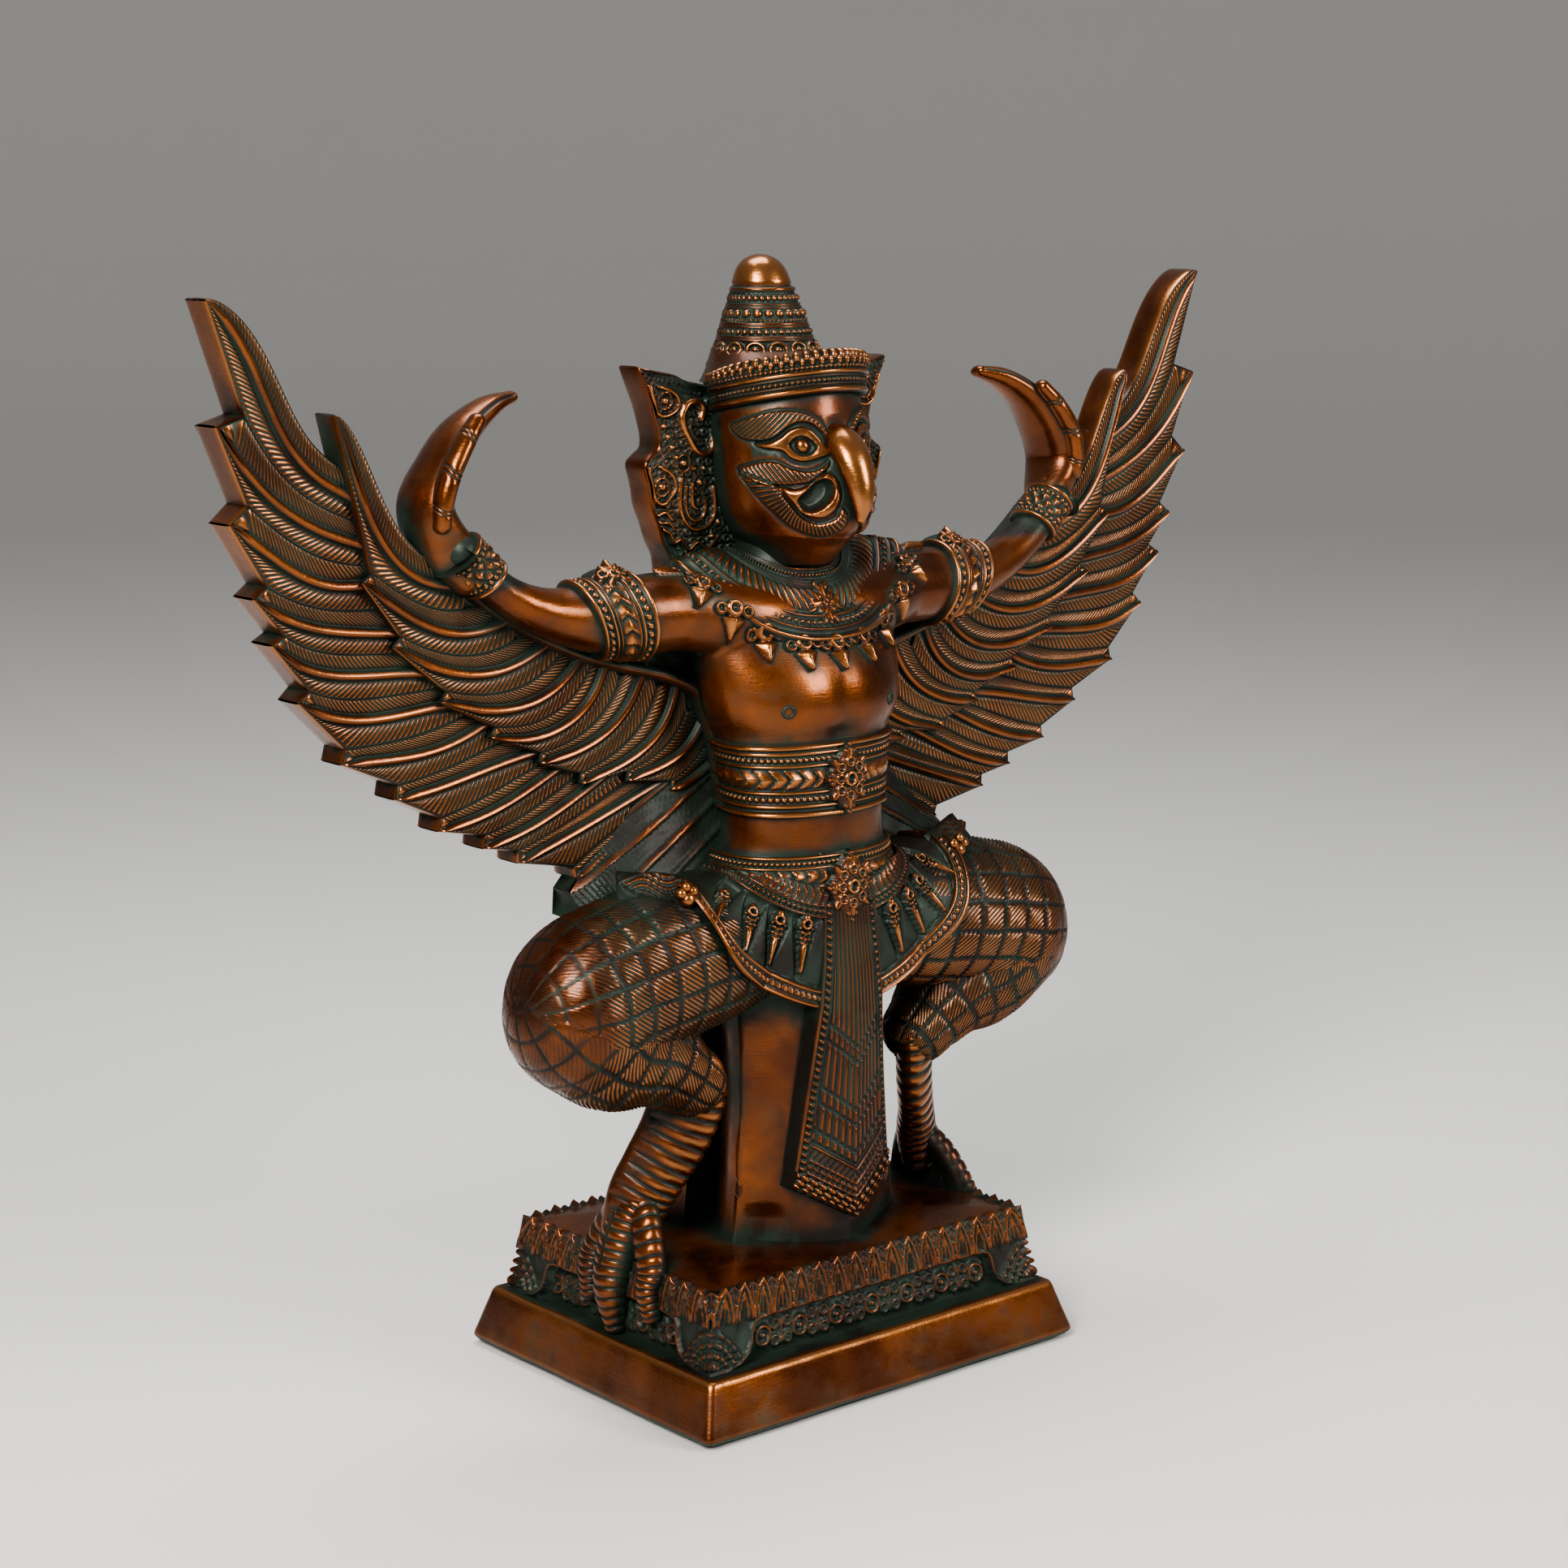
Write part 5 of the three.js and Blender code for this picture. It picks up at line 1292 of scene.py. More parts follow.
def arm_band(casting, start, end, tilt, bands, grow):
    """A band round the arm between two shares of its length, leaning by `tilt` millimetres."""
    turn = all_round(230)[None, :]
    width = (end - start) * arm.length
    steps = np.linspace(-0.04, 1.04, int(width * 1.08 / 0.3))[:, None]
    upward = arm.surface(np.full_like(turn, (start + end) / 2), turn)[..., 2]
    upward = (upward - upward.mean()) / 12
    share = start + (end - start) * steps + upward * (tilt[0] + (tilt[1] - tilt[0]) * steps) / arm.length
    base = arm.surface(share, turn, grow)
    once_round = np.linspace(0, 2 * np.pi, 231)[None, :]
    ring = arm.surface(np.full_like(once_round, (start + end) / 2), once_round, grow)[0]
    length = -travelled(ring)[:-1][None, :]
    across = steps * width
    bands = [(place * width, half, kind, rise) for place, half, kind, rise in bands]
    out = banded(across, length, bands, 2.25, 4.4, 0.8)
    edge = np.clip(np.maximum(-steps, steps - 1) / 0.035, 0, 1)
    grid = carved(base, out - 3.2 * edge, ring=True)
    casting.both_sides(grid, np.clip(0.1 + out * 0.8, 0, 1) * (1 - 0.6 * edge), ring=True)


arm_rings = Casting()
arm_band(arm_rings, 0.325, 0.525, (2.5, 7.0), [
    (0.04, 0.8, "cord", 1.3), (0.155, 1.15, "beads", 1.3), (0.26, 0.55, "cord", 1.2),
    (0.335, 0.5, "cord", 0.9),
    (0.5, 2.9, "leaves", 1.7), (0.68, 0.5, "cord", 0.9), (0.76, 0.55, "cord", 1.2),
    (0.86, 1.15, "beads", 1.3),
    (0.965, 0.8, "cord", 1.3),
], 0.9)
arm_band(arm_rings, 0.885, 1.0, (0, 0), [
    (0.05, 0.7, "cord", 1.2), (0.2, 0.85, "beads", 1.1), (0.5, 2.6, "crossed", 1.3),
    (0.8, 0.85, "beads", 1.1),
    (0.95, 0.7, "cord", 1.2),
], 0.7)


def armlet_flower(a, b):
    """A ring with a scroll at either side, two leaves below and three above."""
    rise = np.maximum(1.6 * hoop(a, b, 1.5, 0.8), 1.5 * hoop(np.abs(a) - 3.6, b + 1.2, 1.5, 0.7))
    for turn, inner, outer, half, height in ((0.8, 2.0, 6.6, 1.3, 1.4), (-0.8, 2.0, 6.6, 1.3, 1.4),
                                             (math.pi + 0.6, 1.8, 6.0, 1.3, 1.4),
                                             (math.pi, 1.5, 7.0, 1.4, 1.8),
                                             (math.pi - 0.6, 1.8, 6.0, 1.3, 1.4)):
        rise = np.maximum(rise, height * petal(a, b, turn, inner, outer, half))
    return rise


for side in (-1, 1):
    ornament(arm_rings, (side * 71, -9.5, 264.6), (side * 0.1, -0.62, 1), (0, -1, -0.6), (7, -7, 7),
             armlet_flower,
             bend=12)
arm_rings.cast("armlets_and_bracelets", brass, keep=0.42)

# The hands
# Each hand bends back at the wrist into a smooth blade that narrows to the finger tips. The thumb lies
# outside it as a second ridge, with a green groove beside it and pairs of small arcs for its knuckles.

palm = Limb(
    path=[(119.5, -1.5, 269), (126.6, 2.8, 278), (129.8, 4.6, 289), (124.5, 4.8, 300), (117, 5.5, 309.5),
          (107, 6.5, 316),
          (97, 7.4, 319)],
    wide=[7.4, 10.8, 11.4, 10.6, 9.2, 6.8, 3.4], deep=[7.0, 7.4, 6.8, 5.6, 4.8, 3.7, 2.1], up=(1, 0, 0.4),
)
thumb = Limb(
    path=[(130.6, -4.6, 284), (130.2, -5.4, 291), (127.6, -5.8, 299), (122.0, -5.0, 307.5),
          (116.6, -3.6, 313.5)],
    wide=[2.9, 3.2, 3.2, 3.0, 2.5], deep=[3.6, 4.1, 4.1, 3.8, 3.1],
)
hands = Casting()
blade = palm.skin(150, 72)
turn = all_round(72)[None, :]
share = np.linspace(0, 1, len(blade))[:, None]
finger_line = np.zeros(blade.shape[:2])
for middle_turn, start in ((0.42, 0.5), (2.72, 0.53), (-0.42, 0.57)):
    near = np.abs((turn - middle_turn + np.pi) % (2 * np.pi) - np.pi) * (7.5 - 5 * share)
    finger_line = np.maximum(finger_line,
                             np.clip(1 - near / 0.75, 0, 1) * np.clip((share - start) / 0.1, 0, 1))
finger_line *= np.clip((0.97 - share) / 0.03, 0, 1)
filed = unevenness(blade, 7, 0.12)
hands.both_sides(carved(blade, filed - 0.8 * finger_line, ring=True), 0.66 - 0.62 * finger_line, ring=True)
finger = thumb.skin(120, 48)
share = np.linspace(0, 1, len(finger))[:, None]
cuts = np.zeros((len(finger), 48))
turn = all_round(48)[None, :]
for knuckle in (0.20, 0.50, 0.78):
    for offset in (-0.018, 0.018):
        sag = 0.02 * np.cos(2 * turn)
        arc = np.clip(1 - np.abs(share - knuckle - offset - sag) / 0.011, 0, 1)
        cuts = np.maximum(cuts, arc * (np.sin(turn) > -0.2))
hands.both_sides(carved(finger, -0.4 * cuts, ring=True), 0.7 - 0.65 * cuts, ring=True)
hands.cast("hands", brass, keep=0.38)

# The rods and the webs
# A round cord of metal under each arm, from the wrist down the side of the body, closes the wing's root.
# Behind it a sheet with worn feather shafts and barbs closes the space between wing, arm and hip.

rod = Limb(
    path=[(131, 3.5, 279), (119, 3.5, 264.5), (100, 3.5, 251), (80, 3.5, 241), (60, 3, 234.5), (44, 2, 230),
          (33, 0, 224), (28, -2, 212), (25.5, -3, 200), (25, -3, 188)],
    wide=[1.6, 2.3, 2.4, 2.4, 2.4, 2.4, 2.2, 2.0, 1.8, 1.6],
    deep=[2.5, 4.6, 5.2, 5.2, 5.2, 5.2, 4.8, 4.4, 4.0, 3.6],
)
rods = Casting()
rods.both_sides(rod.skin(220, 26), 0.62, ring=True)


def rounded(places, count=60, closed=False):
    """A smooth line through places."""
    places = np.asarray(places, float)
    if closed:
        places = np.concatenate([places[-2:], places, places[:3]])
        share = np.linspace(2, len(places) - 3, count, endpoint=False) / (len(places) - 1)
        return smooth(places, share)
    return smooth(places, np.linspace(0, 1, count))


def web(lines, front, back, steps):
    """A feathered sheet between two edges, each given by places across and up. `front` says how far
    forward each edge lies."""
    upper = rounded([line[0] for line in lines], steps)
    lower = rounded([line[1] for line in lines], steps)
    share = np.linspace(0, 1, steps)[None, :, None]
    flat = upper[:, None, :] + (lower - upper)[:, None, :] * share
    ahead = (front[0] + (front[1] - front[0]) * share[..., 0]) * np.ones((steps, 1))
    for y, toward, skip in ((ahead, (0, -1, 0), 1), (np.full(ahead.shape, float(back)), (0, 1, 0), 3)):
        plate = places_at(flat[..., 0], y, flat[..., 1])[::skip, ::skip]
        lumps = unevenness(plate, 4.0, 0.35)
        across_shafts = (plate[..., 0] * 0.5 + plate[..., 2] * 0.87) / 7.5 + 0.12 * lumps
        shaft = dome((across_shafts % 1 - 0.5) * 7.5, 1.1)
        barb = strokes((plate[..., 0] * 0.94 - plate[..., 2] * 0.34) / 1.7) * (1 - shaft)
        plate[..., 1] += lumps - (shaft + 0.6 * barb) if toward[1] < 0 else 0.3 * lumps
        worn = 0.06 + 0.5 * shaft + 0.3 * barb if toward[1] < 0 else 0.2 + lumps * 0.25
        rods.both_sides(plate, np.clip(worn, 0, 1), toward=toward)
    depth = np.linspace(0, 1, 6)[None, :]
    for edge, start, sign in ((upper, front[0], 1), (lower, front[1], -1)):
        wall = places_at(edge[:, :1], start + (back - start) * depth, edge[:, 1:])
        rods.both_sides(wall, 0.2, toward=(0, 0, sign))
    end = flat[-1]
    end_x = end[:, :1] - 1.5 * np.sin(np.pi * share[0]) + 0.6 * np.sin(np.pi * depth)
    end_y = ahead[-1][:, None] + (back - ahead[-1][:, None]) * depth
    rods.both_sides(places_at(end_x, end_y, end[:, 1:]), 0.25, toward=(1, 0, 0))


web([[(20, 252), (20, 205)], [(62, 250), (62, 228)], [(96, 256), (96, 242)], [(125, 278), (127, 264)]],
    (2.4, 2.4), 10.5, 52)
web([[(10, 212), (10, 160)], [(30, 209), (30, 162)], [(48, 196), (48, 164)], [(62, 181), (63, 162)],
     [(72, 173), (73, 160)], [(79.5, 165), (80, 156.5)]], (4.6, -7), 12.5, 100)
rods.cast("rods_and_webs", brass, keep=0.35)

# The wings
# Two flat plates of long feathers with a shorter row lapped over them, cast in one with the back.
# Every shaft is a polished round ridge between two vanes, and each barb is a cut stroke.


def resampled(places, count):
    """The same line through evenly spaced places."""
    places = np.asarray(places, float)
    length = travelled(places)
    wanted = np.linspace(0, length[-1], count)
    return np.stack([np.interp(wanted, length, places[:, axis]) for axis in range(places.shape[1])], axis=1)


def heading(degrees):
    """A direction in the wing's plane, counted upwards from straight out."""
    return np.array([math.cos(math.radians(degrees)), math.sin(math.radians(degrees))])


def shaft_line(root, tip, root_turn, tip_turn, hidden):
    """A feather's shaft from under the feathers that cover its root to its tip."""
    root = np.array(root, float)
    tip = np.array(tip, float)
    reach = np.linalg.norm(tip - root) * 0.38
    bend = [root, root + heading(root_turn) * reach, tip - heading(tip_turn) * reach, tip]
    t = np.linspace(0, 1, 120)[:, None]
    pulls = [(1 - t) ** 3, 3 * (1 - t) ** 2 * t, 3 * (1 - t) * t**2, t**3]
    curve = sum(pull * place for pull, place in zip(pulls, bend))
    return resampled(np.concatenate([[root - heading(root_turn) * hidden], curve]), 400)


def pick(line, share):
    """Places at shares of a line, held at its ends."""
    at = np.clip(share, 0, 1) * (len(line) - 1)
    return np.stack([np.interp(at, np.arange(len(line)), line[:, axis]) for axis in range(line.shape[1])],
                    axis=-1)


def nearest_share(line, place):
    """The share of a line at which it comes nearest to a place."""
    return np.argmin(np.linalg.norm(line - place, axis=1)) / (len(line) - 1)


long_feathers = {  # root, tip, and the angles at which the shaft leaves and arrives
    "shafts": [
        ((162.6, 296.6), (200.8, 350.6), 29, 42), ((158, 280.7), (199, 315.4), 19, 60),
        ((155.6, 267.1), (195.7, 287.6), 0, 35), ((144.9, 252.3), (188.6, 266), 6, 39),
        ((138.9, 239.8), (183.1, 252.2), 4, 47), ((129.9, 228.4), (174.8, 234.5), -5, 33),
        ((113.3, 220), (160.7, 214.9), -24, 1), ((97.4, 209.7), (142.4, 202.2), -9, -3),
        ((87.1, 202.6), (127.1, 190.5), -26, -5), ((72.2, 196.6), (110.8, 183), -27, -9),
        ((49.4, 193.3), (97.9, 176.7), -20, -17), ((33.1, 189.4), (75.9, 169), -24, -31),
    ],
    "notch": [9.5, 7.9, 5.4, 4.8, 4.8, 4.6, 4.4, 4.2, 4.2, 4.0, 3.8],
    "hidden": 13, "front": 4.2, "wall": 15.9, "first_edge": 6.6, "last_edge": 5.5,
}
coverts = {
    "shafts": [
        ((124.6, 265), (162, 317), 6, 72), ((107.3, 251.8), (154.2, 268.2), -18, 38),
        ((91.4, 243.1), (144.2, 248.5), -31, 33), ((78.3, 236.9), (127.8, 230.4), -51, 20),
        ((68.4, 232.3), (110.1, 217.8), -68, 19), ((53.7, 229), (92, 207.7), -66, -3),
        ((39.9, 223), (76.6, 199.5), -74, -11), ((29.4, 212.5), (58.6, 198.2), -60, -10),
        ((24.7, 199.7), (41.3, 193.3), -28, -4),
    ],
    "notch": [4.2, 4.0, 3.8, 3.6, 3.4, 3.2, 3.0, 2.8],
    "hidden": 6, "front": 1.0, "wall": 6.5, "first_edge": 7.0, "last_edge": 5.0,
}
wing_back = 16.7
vane_step = 0.56  # from one row of a vane's mesh to the next


ridge_profile = [(0, 1.6, 0.76), (0.5, 1.4, 0.72), (0.86, 0.9, 0.5), (1, -0.15, 0.0)]  # share, height, wear
vane_profile = [  # share of the vane, height, wear, and depth of the cuts between the barbs
    (0.0, -0.45, 0.0, 0.0), (0.06, 0.1, 0.85, 0.6), (0.38, 0.3, 1.0, 0.8), (0.68, 0.3, 1.0, 0.8),
    (0.90, 0.15, 0.9, 0.7), (0.95, -0.25, 0.1, 0.1),
]
wall_profile = np.array([  # how far back on the edge's wall, how far it swells there, and its wear
    (0.35, 0.0, 0.7), (0.8, 0.25, 0.95), (1.6, 0.42, 0.8), (3.5, 0.5, 0.7), (7.0, 0.5, 0.65),
    (9.5, 0.5, 0.7), (11.0, 0.42, 0.8), (11.7, 0.25, 0.9), (12.1, 0.0, 0.6),
])


def square_to(line):
    """The direction square to a line at each of its places, on its left."""
    along = np.gradient(line, axis=0)
    along /= np.maximum(np.linalg.norm(along, axis=1, keepdims=True), 1e-9)
    return np.stack([-along[:, 1], along[:, 0]], axis=1)


def seam_between(upper, lower, notch):
    """The line where two feathers meet, from between their roots to the notch between their tips.
    It comes with the shares of both shafts at which it ends."""
    upper_end = nearest_share(upper, notch)
    lower_end = nearest_share(lower, notch)
    t = np.linspace(0, 1, 200)
    above = pick(upper, t * upper_end)
    below = pick(lower, t * lower_end)
    to_upper = np.linalg.norm(notch - above[-1])
    to_lower = np.linalg.norm(notch - below[-1])
    lean = 0.5 + (to_upper / (to_upper + to_lower) - 0.5) * t**2
    seam = above + (below - above) * lean[:, None]
    return seam + (notch - seam[-1]) * (t**3)[:, None], upper_end, lower_end


def free_edge(shaft, side, half):
    """The outer edge of the first or last feather of a fan."""
    t = np.linspace(0, 1, 200)
    line = pick(shaft, t)
    return line + square_to(line) * side * (half * (1 - t**5) ** 0.6)[:, None]


def vane_edge(border, end, tip):
    """A vane's edge, matched to shares of its shaft: the seam up to the notch, then out to the tip."""
    outer = border[-1] + (tip - border[-1]) * np.linspace(0, 1, 80)[:, None]
    seam_rows = max(2, int(400 * end))
    return np.concatenate([resampled(border, seam_rows), resampled(outer, max(2, 400 - seam_rows))])


def vane(shaft, edge, side, length):
    """One side of a feather, from the middle of its shaft to its edge: the places on its spine and border,
    then its front's places, heights and relief."""
    rows = int(length / vane_step)
    share = np.linspace(0, 1, rows)
    spine = pick(shaft, share)
    barb = np.array([1.0, 0.0, 0.8])[np.arange(rows) % 3][:, None]
    width = np.linalg.norm(pick(edge, share) - spine, axis=1)
    half = np.minimum(1.5 * np.clip((1 - share) / 0.12, 0.25, 1) ** 0.5, width * 0.45 + 0.15)
    border = pick(edge, share + np.clip(width, 0, 8) * 0.8 / length)
    out = square_to(spine) * side
    inner = spine + out * (half + np.minimum(0.35, width * 0.1))[:, None]
    last = (1.0, -0.15 if side < 0 else -0.7, 0.45, 0.0)
    places = [spine + out * half[:, None] * part for part, height, wear in ridge_profile]
    places += [inner + (border - inner) * part for part, height, wear, cut in [*vane_profile, last]]
    profile = [(height, wear, 0.0) for part, height, wear in ridge_profile]
    profile += [(height, wear, cut) for part, height, wear, cut in [*vane_profile, last]]
    heights, worn, cuts = np.array([*profile, (-1.3, 0.0, 0.0)]).T
    fade = np.clip(width / 3, 0.15, 1)[:, None]
    lift = heights * fade - cuts * (1 - barb) * fade
    relief = np.clip(worn - np.minimum(1, cuts * 2) * (1 - barb) * 0.85, 0, 1)
    return spine, border, np.stack([*places, border], axis=1), lift, relief


def feather_fan(fan, castings):
    """A fan of feathers with their free edges and their plain backs, on both sides of the figure."""
    shafts = [shaft_line(*shaft, fan["hidden"]) for shaft in fan["shafts"]]
    last = len(shafts) - 1
    seams = []
    for i in range(last):
        _, tip, _, tip_turn = fan["shafts"][i + 1]
        notch = np.array(tip) + heading(tip_turn + 104) * fan["notch"][i]
        seams.append(seam_between(shafts[i], shafts[i + 1], notch))
    for i, shaft in enumerate(shafts):
        length = np.linalg.norm(np.diff(shaft, axis=0), axis=1).sum()
        upper = (free_edge(shaft, 1, fan["first_edge"]), 0.0)
        lower = (free_edge(shaft, -1, fan["last_edge"]), 0.0)
        if i > 0:
            seam, above_end, below_end = seams[i - 1]
            upper = (vane_edge(seam, below_end, shaft[-1]), below_end)
        if i < last:
            seam, above_end, below_end = seams[i]
            lower = (vane_edge(seam, above_end, shaft[-1]), above_end)
        for side, (edge, end) in ((1, upper), (-1, lower)):
            spine, border, places, lift, relief = vane(shaft, edge, side, length)
            front = places_at(places[..., 0], fan["front"] - lift, places[..., 1])
            back_rows = np.unique(np.append(np.arange(0, len(spine), 5), len(spine) - 1))
            plain = np.stack([spine, (spine + border) / 2, border], axis=1)[back_rows]
            back = places_at(plain[..., 0], wing_back + np.array([0.5, 0.1, -0.5]), plain[..., 1])
            for casting, mirror in castings:
                casting.add(front * mirror, relief, toward=(0, -1, 0))
                if fan is long_feathers:
                    casting.add(back * mirror, [[0.6, 0.5, 0.15]], toward=(0, 1, 0))
            if fan is coverts and side > 0 and i > 0:
                continue
            # The plain wall round the free part of this edge.
            free = pick(edge, np.linspace(max(end - 0.02, 0), 1, 60))
            away = square_to(free) * side
            depths, bulges, worn = wall_profile.T
            back_edge = wing_back - 0.35 if fan is long_feathers else fan["wall"] + (6 if i == 0 else 0)
            wall = free[:, None, :] + away[:, None, :] * bulges[None, :, None]
            wall_y = fan["front"] + depths / depths[-1] * (back_edge - fan["front"])
            wall = places_at(wall[..., 0], wall_y, wall[..., 1])
            toward = places_at(away[:, 0], 0, away[:, 1])[:, None, :]
            for casting, mirror in castings:
                casting.add(wall * mirror, worn[None, :], toward=toward * mirror)


wing_right = Casting()
wing_left = Casting()
both_wings = ((wing_right, np.array([1, 1, 1])), (wing_left, np.array([-1, 1, 1])))
feather_fan(long_feathers, both_wings)
feather_fan(coverts, both_wings)
wing_right.cast("wing_right", brass, keep=0.78)
wing_left.cast("wing_left", brass, keep=0.78)

# The head
# A smooth egg-shaped head with a beak, cast on the neck. Brow, eyelids and cheeks are raised feathered
# bands with cut barbs, and the open mouth is a hollow that keeps its green patina.


def unrolled(places):
    """Places of the face, across and up, with the distance across measured round the head."""
    places = np.array(places, float)
    return np.stack([25 * np.arcsin(np.clip(places[:, 0] / 24.4, -1, 0.9995)), places[:, 1]], axis=1)


brow_top = [(24.3, 307.8), (23.7, 309.2), (22.3, 310.7), (20, 312.2), (17.2, 312.9), (13.8, 312.9),
            (10.5, 312.1),
            (7.6, 310.3), (5.0, 307.2)]
brow_low = [(5.0, 304.6), (6.4, 306.4), (9.1, 308.8), (11.9, 309.6), (14.4, 308.9), (16.6, 307.1),
            (19.1, 304.6),
            (21.2, 303.7), (22.9, 303.9), (23.9, 305.1)]
lid = [(22.2, 302.8), (20, 303.2), (17.7, 304.8), (15.5, 307), (12.5, 308.2), (9.8, 307.3), (7.6, 304.9),
       (6, 302.2),
       (4.3, 299.9), (6.4, 299.1), (8.3, 298.5), (11.2, 297.6), (13.8, 297.5), (16.1, 298.7), (17.4, 300.6),
       (19.1, 301.1), (20.9, 301.5)]
eye_opening = [(16.0, 302.4), (14.6, 304.6), (12.5, 305.4), (10.3, 304.4), (8.6, 301.9), (10.2, 299.9),
               (12.5, 299.2),
               (14.6, 300.2)]
cheek_feather = [(24.1, 294.5), (22.9, 296.2), (21.2, 297.2), (19.1, 297.3), (17.4, 296.2), (15.5, 295.1),
                 (13.1, 294.5), (10.5, 294.5), (7.5, 295.9), (5.6, 297.6), (6.4, 295.9), (9, 293.2),
                 (11.8, 291.4),
                 (14.4, 290.8), (17.2, 290.4), (19.1, 290.3), (21.2, 290.4), (22.9, 292)]
whisker = [(24.1, 294.0), (23.2, 289.6), (21.6, 284.4), (19.1, 279.6), (16.1, 276.6), (12.5, 275),
           (9, 274.7),
           (5.6, 275.9), (3.2, 278.6), (2.6, 282), (4.2, 283.4), (5.4, 281.0), (7.6, 279.6), (10.5, 278.9),
           (13.7, 280.1), (15.5, 282.4), (17.7, 287), (19.4, 290.0)]
lip = [(19.0, 289.8), (17.2, 289.5), (15.1, 289.1), (12.2, 290.3), (9.4, 292.7), (7.4, 294), (5.4, 293.2),
       (4.0, 290.7), (3.6, 287.6), (4.8, 284.6), (7.2, 281.9), (10.2, 280.5), (13.4, 281.4), (15.8, 284.1),
       (17.8, 287.5)]
mouth = [(14.8, 286.1), (12.8, 288.6), (10.6, 291.2), (8.2, 292.2), (6.4, 291.3), (5.7, 289.2),
         (6.6, 286.3),
         (9.2, 283.7), (12.2, 282.4), (14.2, 283.4)]

skull = Upright([
    (264, 12, -24, -8, 6), (269, 14.5, -29, -8, 9), (274, 19, -33, -8, 12), (284, 23, -34.8, -8, 16.5),
    (300, 24.4, -33.8, -7, 19), (312, 24.4, -31, -6.4, 18.6), (320, 21, -28.6, -5, 14),
    (325, 15, -22, -5, 9),
])


def raised(depth, rise, edge=1.3):
    """A band with rounded edges, a groove round it and a flat middle."""
    step = np.clip(depth / edge, 0, 1)
    return rise * np.sqrt(1 - (1 - step) ** 2) - 0.45 * np.clip(1 - np.abs(depth + 0.35) / 0.55, 0, 1)


def face(across, up):
    """The height of the face's relief over the plain head, and how exposed it is."""
    height = np.zeros(np.shape(across))
    worn = np.full(np.shape(across), 0.62)
    height += 5.2 * np.exp(-((across / 10.5) ** 2)) * bump(up, 280.0, 10)
    height += 3.4 * np.exp(-((across / 9) ** 2)) * bump(up, 292, 12)
    height += 1.4 * bump(across, 13, 13) * bump(up, 286, 13)
    height -= 1.3 * bump(across, 13, 10) * bump(up, 302.5, 8)
    height -= 1.2 * np.exp(-((across / 5) ** 2)) * bump(up, 306.5, 6)

    def feathered(outline, rise, phase, cut):
        nonlocal height, worn
        depth = depth_in(rounded(unrolled(outline), 90, closed=True), across, up)
        stroke = strokes(phase)
        inner = np.clip((depth - 0.35) / 0.5, 0, 1)
        height = height + raised(depth, rise) - cut * (1 - stroke) * inner
        worn = np.where(depth > 0, 0.92 - 0.88 * (1 - stroke) * inner, worn)
        worn = np.where((depth < 0.05) & (depth > -0.8), 0.05, worn)

    brow = brow_top + brow_low
    feathered(brow, 1.5, (across * 0.92 + (up - 308) * (0.42 + 0.03 * across)) / 1.7, 0.75)
    feathered(cheek_feather, 1.4, (across - (up - 294) * 0.75) / 1.6, 0.7)
    middle = unrolled([(11.6, 288)])[0]
    angle = np.arctan2(up - middle[1], across - middle[0])
    reach = np.hypot(up - middle[1], across - middle[0])
    feathered(whisker, 1.5, angle * 9.2 + reach * 0.12, 0.75)

    depth = depth_in(rounded(unrolled(lid), 100, closed=True), across, up)
    height += raised(depth, 1.5, 1.1)
    worn = np.where(depth > 0, 0.9, worn)
    worn = np.where((depth < 0) & (depth > -1.3), 0.05, worn)
    opening = depth_in(rounded(unrolled(eye_opening), 60, closed=True), across, up)
    height -= 1.7 * np.clip(opening / 0.5, 0, 1)
    worn = np.where(opening > 0, 0.02, worn)
    pupil = unrolled([(12.6, 302.4)])[0]
    ball = np.hypot(across - pupil[0], up - pupil[1])
    height = np.where(ball < 2.45, height + 2.5 * dome(ball, 2.45), height)
    worn = np.where(ball < 2.2, 0.85, worn)

    depth = depth_in(rounded(unrolled(lip), 90, closed=True), across, up)
    height += raised(depth, 1.7, 1.6)
    worn = np.where(depth > 0, 0.85, worn)
    depth = depth_in(rounded(unrolled(mouth), 70, closed=True), across, up)
    height -= 4.6 * np.clip((depth + 0.2) / 1.5, 0, 1) ** 0.8
    worn = np.where(depth > 0.25, 0.0, worn)
    cheek_line = rounded(unrolled([(24.2, 293), (22.9, 286), (20.4, 280.4), (17.4, 276.6), (14.6, 275)]))
    height -= 0.35 * np.clip(1 - distance_to(cheek_line, across + 1.3, up + 0.9) / 0.4, 0, 1)
    return height, worn


head = Casting()
up = np.linspace(264, 324, 178)[:, None]
turn = np.linspace(-1.68, 1.68, 246)[None, :]
base = skull.surface(up, turn)
across = np.broadcast_to(25 * np.abs(turn), base.shape[:2])
height, worn = face(across, np.broadcast_to(up, base.shape[:2]))
fade = np.clip((1.6 - np.abs(turn)) / 0.1, 0, 1)
head.add(carved(base, height * fade, toward=(0, -1, 0)), worn, toward=(0, -1, 0))
turn = np.linspace(1.6, 2 * np.pi - 1.6, 80)[None, :]
up = np.linspace(264, 324, 50)[:, None]
head.add(skull.surface(up, turn), 0.35, toward=(0, 1, 0))

beak = Limb(
    path=[(0, -25, 306), (0, -32.5, 303.5), (0, -38.4, 298.6), (0, -41.8, 291.8), (0, -43.1, 285),
          (0, -42.4, 280)],
    wide=[3.4, 6.0, 6.3, 5.0, 3.5, 1.6], deep=[4, 5.0, 5.0, 4.3, 3.2, 1.8], up=(0, -1, 0.6),
)
head.add(beak.skin(80, 56, round_start=False), 0.92, ring=True)
head.cast("head", brass)

# The crown
# A band of cords, beads and leaves round the brow, a plain sloping brim, and a tall cone with rings of
# carving that end in a smooth polished cap. The carving was cut deeper in front than behind.

